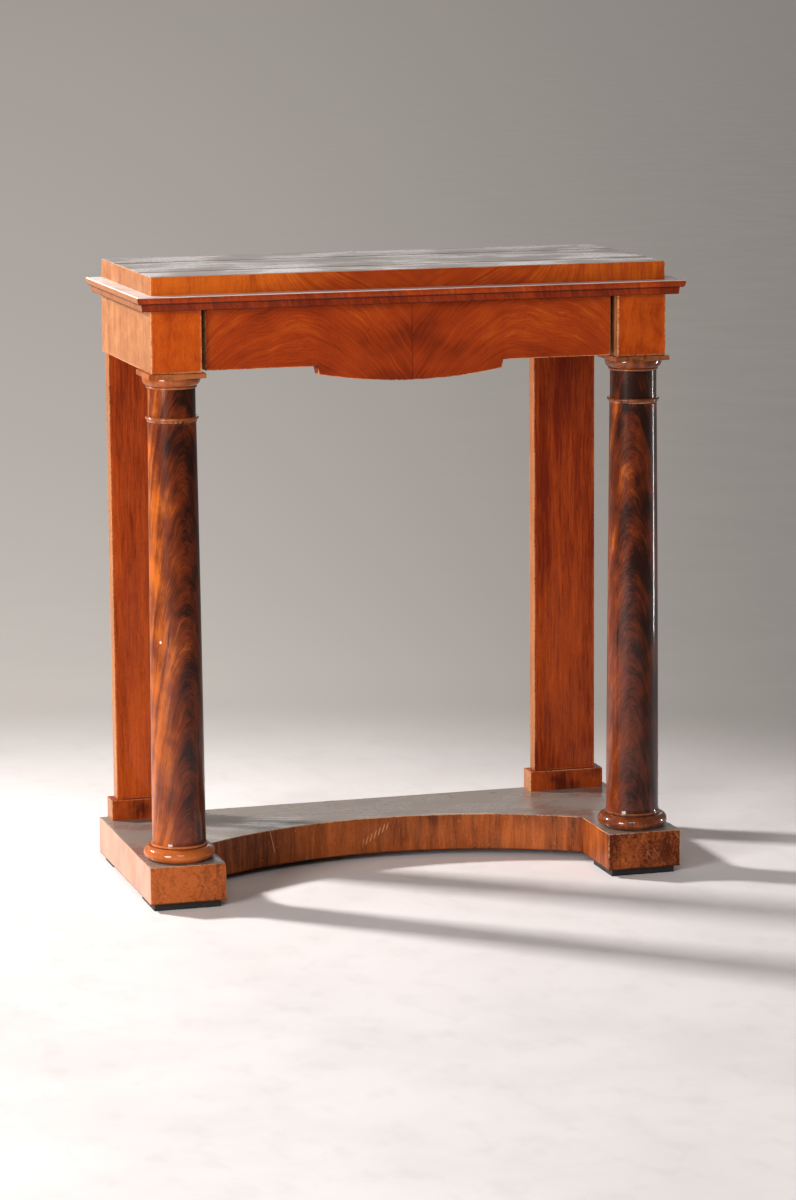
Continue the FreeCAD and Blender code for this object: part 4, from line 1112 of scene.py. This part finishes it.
class PIERTABLE_OT_stage(bpy.types.Operator):
    """Sets up the pale floor, the grey room, the soft lights and the camera"""

    bl_idname = "pier_table.stage"
    bl_label = "Stage"

    def execute(self, context):
        look = context.scene.pier_table_colours
        self.floor(context, look)
        self.room(context, look)
        self.lights(context)
        self.camera(context)
        context.scene.view_settings.view_transform = "Standard"
        return {"FINISHED"}

    def floor(self, context, look):
        """A wide disc, pale around the table and grey far behind it."""
        bm = bmesh.new()
        bmesh.ops.create_circle(bm, cap_ends=True, segments=96, radius=80)
        mesh = bpy.data.meshes.new("floor")
        bm.to_mesh(mesh)
        bm.free()
        disc = bpy.data.objects.new("floor", mesh)
        context.scene.collection.objects.link(disc)
        finish, x, y, z, point = begun("floor_pale")
        off_x, off_y = x + 0.45, y + 1.0
        far = ((off_x * off_x + off_y * off_y) ** 0.5).rise(1.35, 2.35)
        mottle = finish.clouds(point, 0.26, 4)
        smudge = finish.clouds(finish.vector(x, y * 0.6, z), 0.045, 4, 3)
        shade = mottle.rise(0.35, 0.7) * 0.16 + smudge.rise(0.5, 0.7) * 0.08
        finish.shade(Base_Color=finish.mix(shade, look.floor, look.backdrop),
                     Roughness=0.75 + mottle * 0.1)
        reach = (x * x + y * y) ** 0.5 + 0.01
        grey = finish.mix(shade * 0.4, self.grey(finish, look, x, y, 5.5, 1 - (1.5 / reach) ** 0.5),
                          look.backdrop)
        light = finish.node("ShaderNodeEmission", None, {"Color": grey, "Strength": 1})
        pale = Wire(finish, finish.shader.outputs[0])
        seen = finish.node("ShaderNodeMixShader", None, (far * finish.looked_at(), pale, light))
        finish.feed(finish.tree.nodes["Material Output"].inputs["Surface"], seen)
        mesh.materials.append(finish.material)

    def grey(self, finish, look, x, y, start, depth):
        """The room's grey: a wedge of light that fades to the right, darker and more even far."""
        heading = math.radians(16)
        ahead = x * math.sin(heading) + y * math.cos(heading) + start
        across = x * math.cos(heading) - y * math.sin(heading)
        tone = (across / ahead.most(0.05)).rise(-0.12, 0.17)
        near, distant = (
            finish.mix(tone, *(tuple(value * share for value in look.backdrop) for share in shares))
            for shares in ((1.39, 0.54), (0.72, 0.51)))
        return finish.mix(depth, near, distant)

    def room(self, context, look):
        """A grey room for the eye and for gloss, and soft light from all round."""
        world = bpy.data.worlds.new("room")
        context.scene.world = world
        finish = Finish("room", world)
        x, y = finish.place("Generated")[:2]
        light = finish.node("ShaderNodeBackground", None,
                            {"Color": (1, 0.99, 0.98), "Strength": 0.08})
        grey = self.grey(finish, look, x, y, 0, 0.86)
        seen = finish.node("ShaderNodeBackground", None, {"Color": grey, "Strength": 1})
        both = finish.node("ShaderNodeMixShader", None, (finish.looked_at(), light, seen))
        finish.feed(finish.tree.nodes["World Output"].inputs["Surface"], both)

    def lights(self, context):
        """A high key behind on the left, soft lamps around and a low strip on the right."""
        for name, place, target, size, power, tint in (
                ("key", (-2.5, 1.85, 2.1), (0, 0, 0.45), (0.35, 0.35), 172, (1, 0.97, 0.95)),
                ("left_soft", (-3.4, -2.6, 1.05), (0, -0.1, 0.5), (1.3, 1.6), 142, (1, 0.98, 0.97)),
                ("right_strip", (2.3, 0.05, 0.28), (0, 0, 0.28), (0.05, 0.54), 12, (1, 0.98, 0.97)),
                ("front_high", (-0.9, -3.4, 2.2), (0, 0, 0.6), (1.4, 1.0), 27, (1, 0.98, 0.96)),
                ("back", (1.2, 4.5, 1.7), (0, 0, 0.85), (4.0, 0.8), 9, (1, 0.99, 0.98))):
            lamp = bpy.data.lights.new(name, "AREA")
            lamp.shape = "RECTANGLE"
            lamp.size, lamp.size_y = size
            lamp.energy = power
            lamp.color = tint
            thing = bpy.data.objects.new(name, lamp)
            thing.location = place
            aim = Vector(target) - Vector(place)
            thing.rotation_euler = aim.to_track_quat("-Z", "Y").to_euler()
            thing.visible_camera = False
            context.scene.collection.objects.link(thing)

    def camera(self, context):
        """A long lens in front and to the left, a little above the top."""
        camera = bpy.data.cameras.new("camera")
        camera.lens = 118.95
        camera.sensor_width = 36
        camera.clip_end = 300
        thing = bpy.data.objects.new("camera", camera)
        yaw, pitch, roll = (math.radians(angle) for angle in (-16.031, 9.645, -0.441))
        level = Matrix.Rotation(math.pi / 2 - pitch, 4, "X")
        eye = Matrix.Translation((-1.5168, -5.3428, 1.3312))
        thing.matrix_world = (eye @ Matrix.Rotation(yaw, 4, "Z") @ level
                              @ Matrix.Rotation(roll, 4, "Z"))
        context.scene.collection.objects.link(thing)
        context.scene.camera = thing


STEPS = (PIERTABLE_OT_hidden_wood, PIERTABLE_OT_platform, PIERTABLE_OT_columns,
         PIERTABLE_OT_pilasters, PIERTABLE_OT_frieze, PIERTABLE_OT_drawer_front,
         PIERTABLE_OT_cornice, PIERTABLE_OT_raised_top, PIERTABLE_OT_stage)


class PIERTABLE_PT_panel(bpy.types.Panel):
    """Lists the table's sizes, colours and steps"""

    bl_idname = "PIERTABLE_PT_panel"
    bl_label = "Pier table"
    bl_space_type = "VIEW_3D"
    bl_region_type = "UI"
    bl_category = "Pier table"

    def draw(self, context):
        for group in sizes_and_look(context):
            box = self.layout.box()
            for name in group.__annotations__:
                box.prop(group, name)
        for step in STEPS:
            self.layout.operator(step.bl_idname)


CLASSES = (PierTableSizes, PierTableColours, *STEPS, PIERTABLE_PT_panel)


def register():
    for kind in CLASSES:
        bpy.utils.register_class(kind)
    bpy.types.Scene.pier_table_sizes = PointerProperty(type=PierTableSizes)
    bpy.types.Scene.pier_table_colours = PointerProperty(type=PierTableColours)


def unregister():
    del bpy.types.Scene.pier_table_colours
    del bpy.types.Scene.pier_table_sizes
    for kind in reversed(CLASSES):
        bpy.utils.unregister_class(kind)


def main():
    register()
    bpy.ops.pier_table.hidden_wood()
    bpy.ops.pier_table.platform()
    bpy.ops.pier_table.columns()
    bpy.ops.pier_table.pilasters()
    bpy.ops.pier_table.frieze()
    bpy.ops.pier_table.drawer_front()
    bpy.ops.pier_table.cornice()
    bpy.ops.pier_table.raised_top()
    bpy.ops.pier_table.stage()


if __name__ == "__main__":
    main()
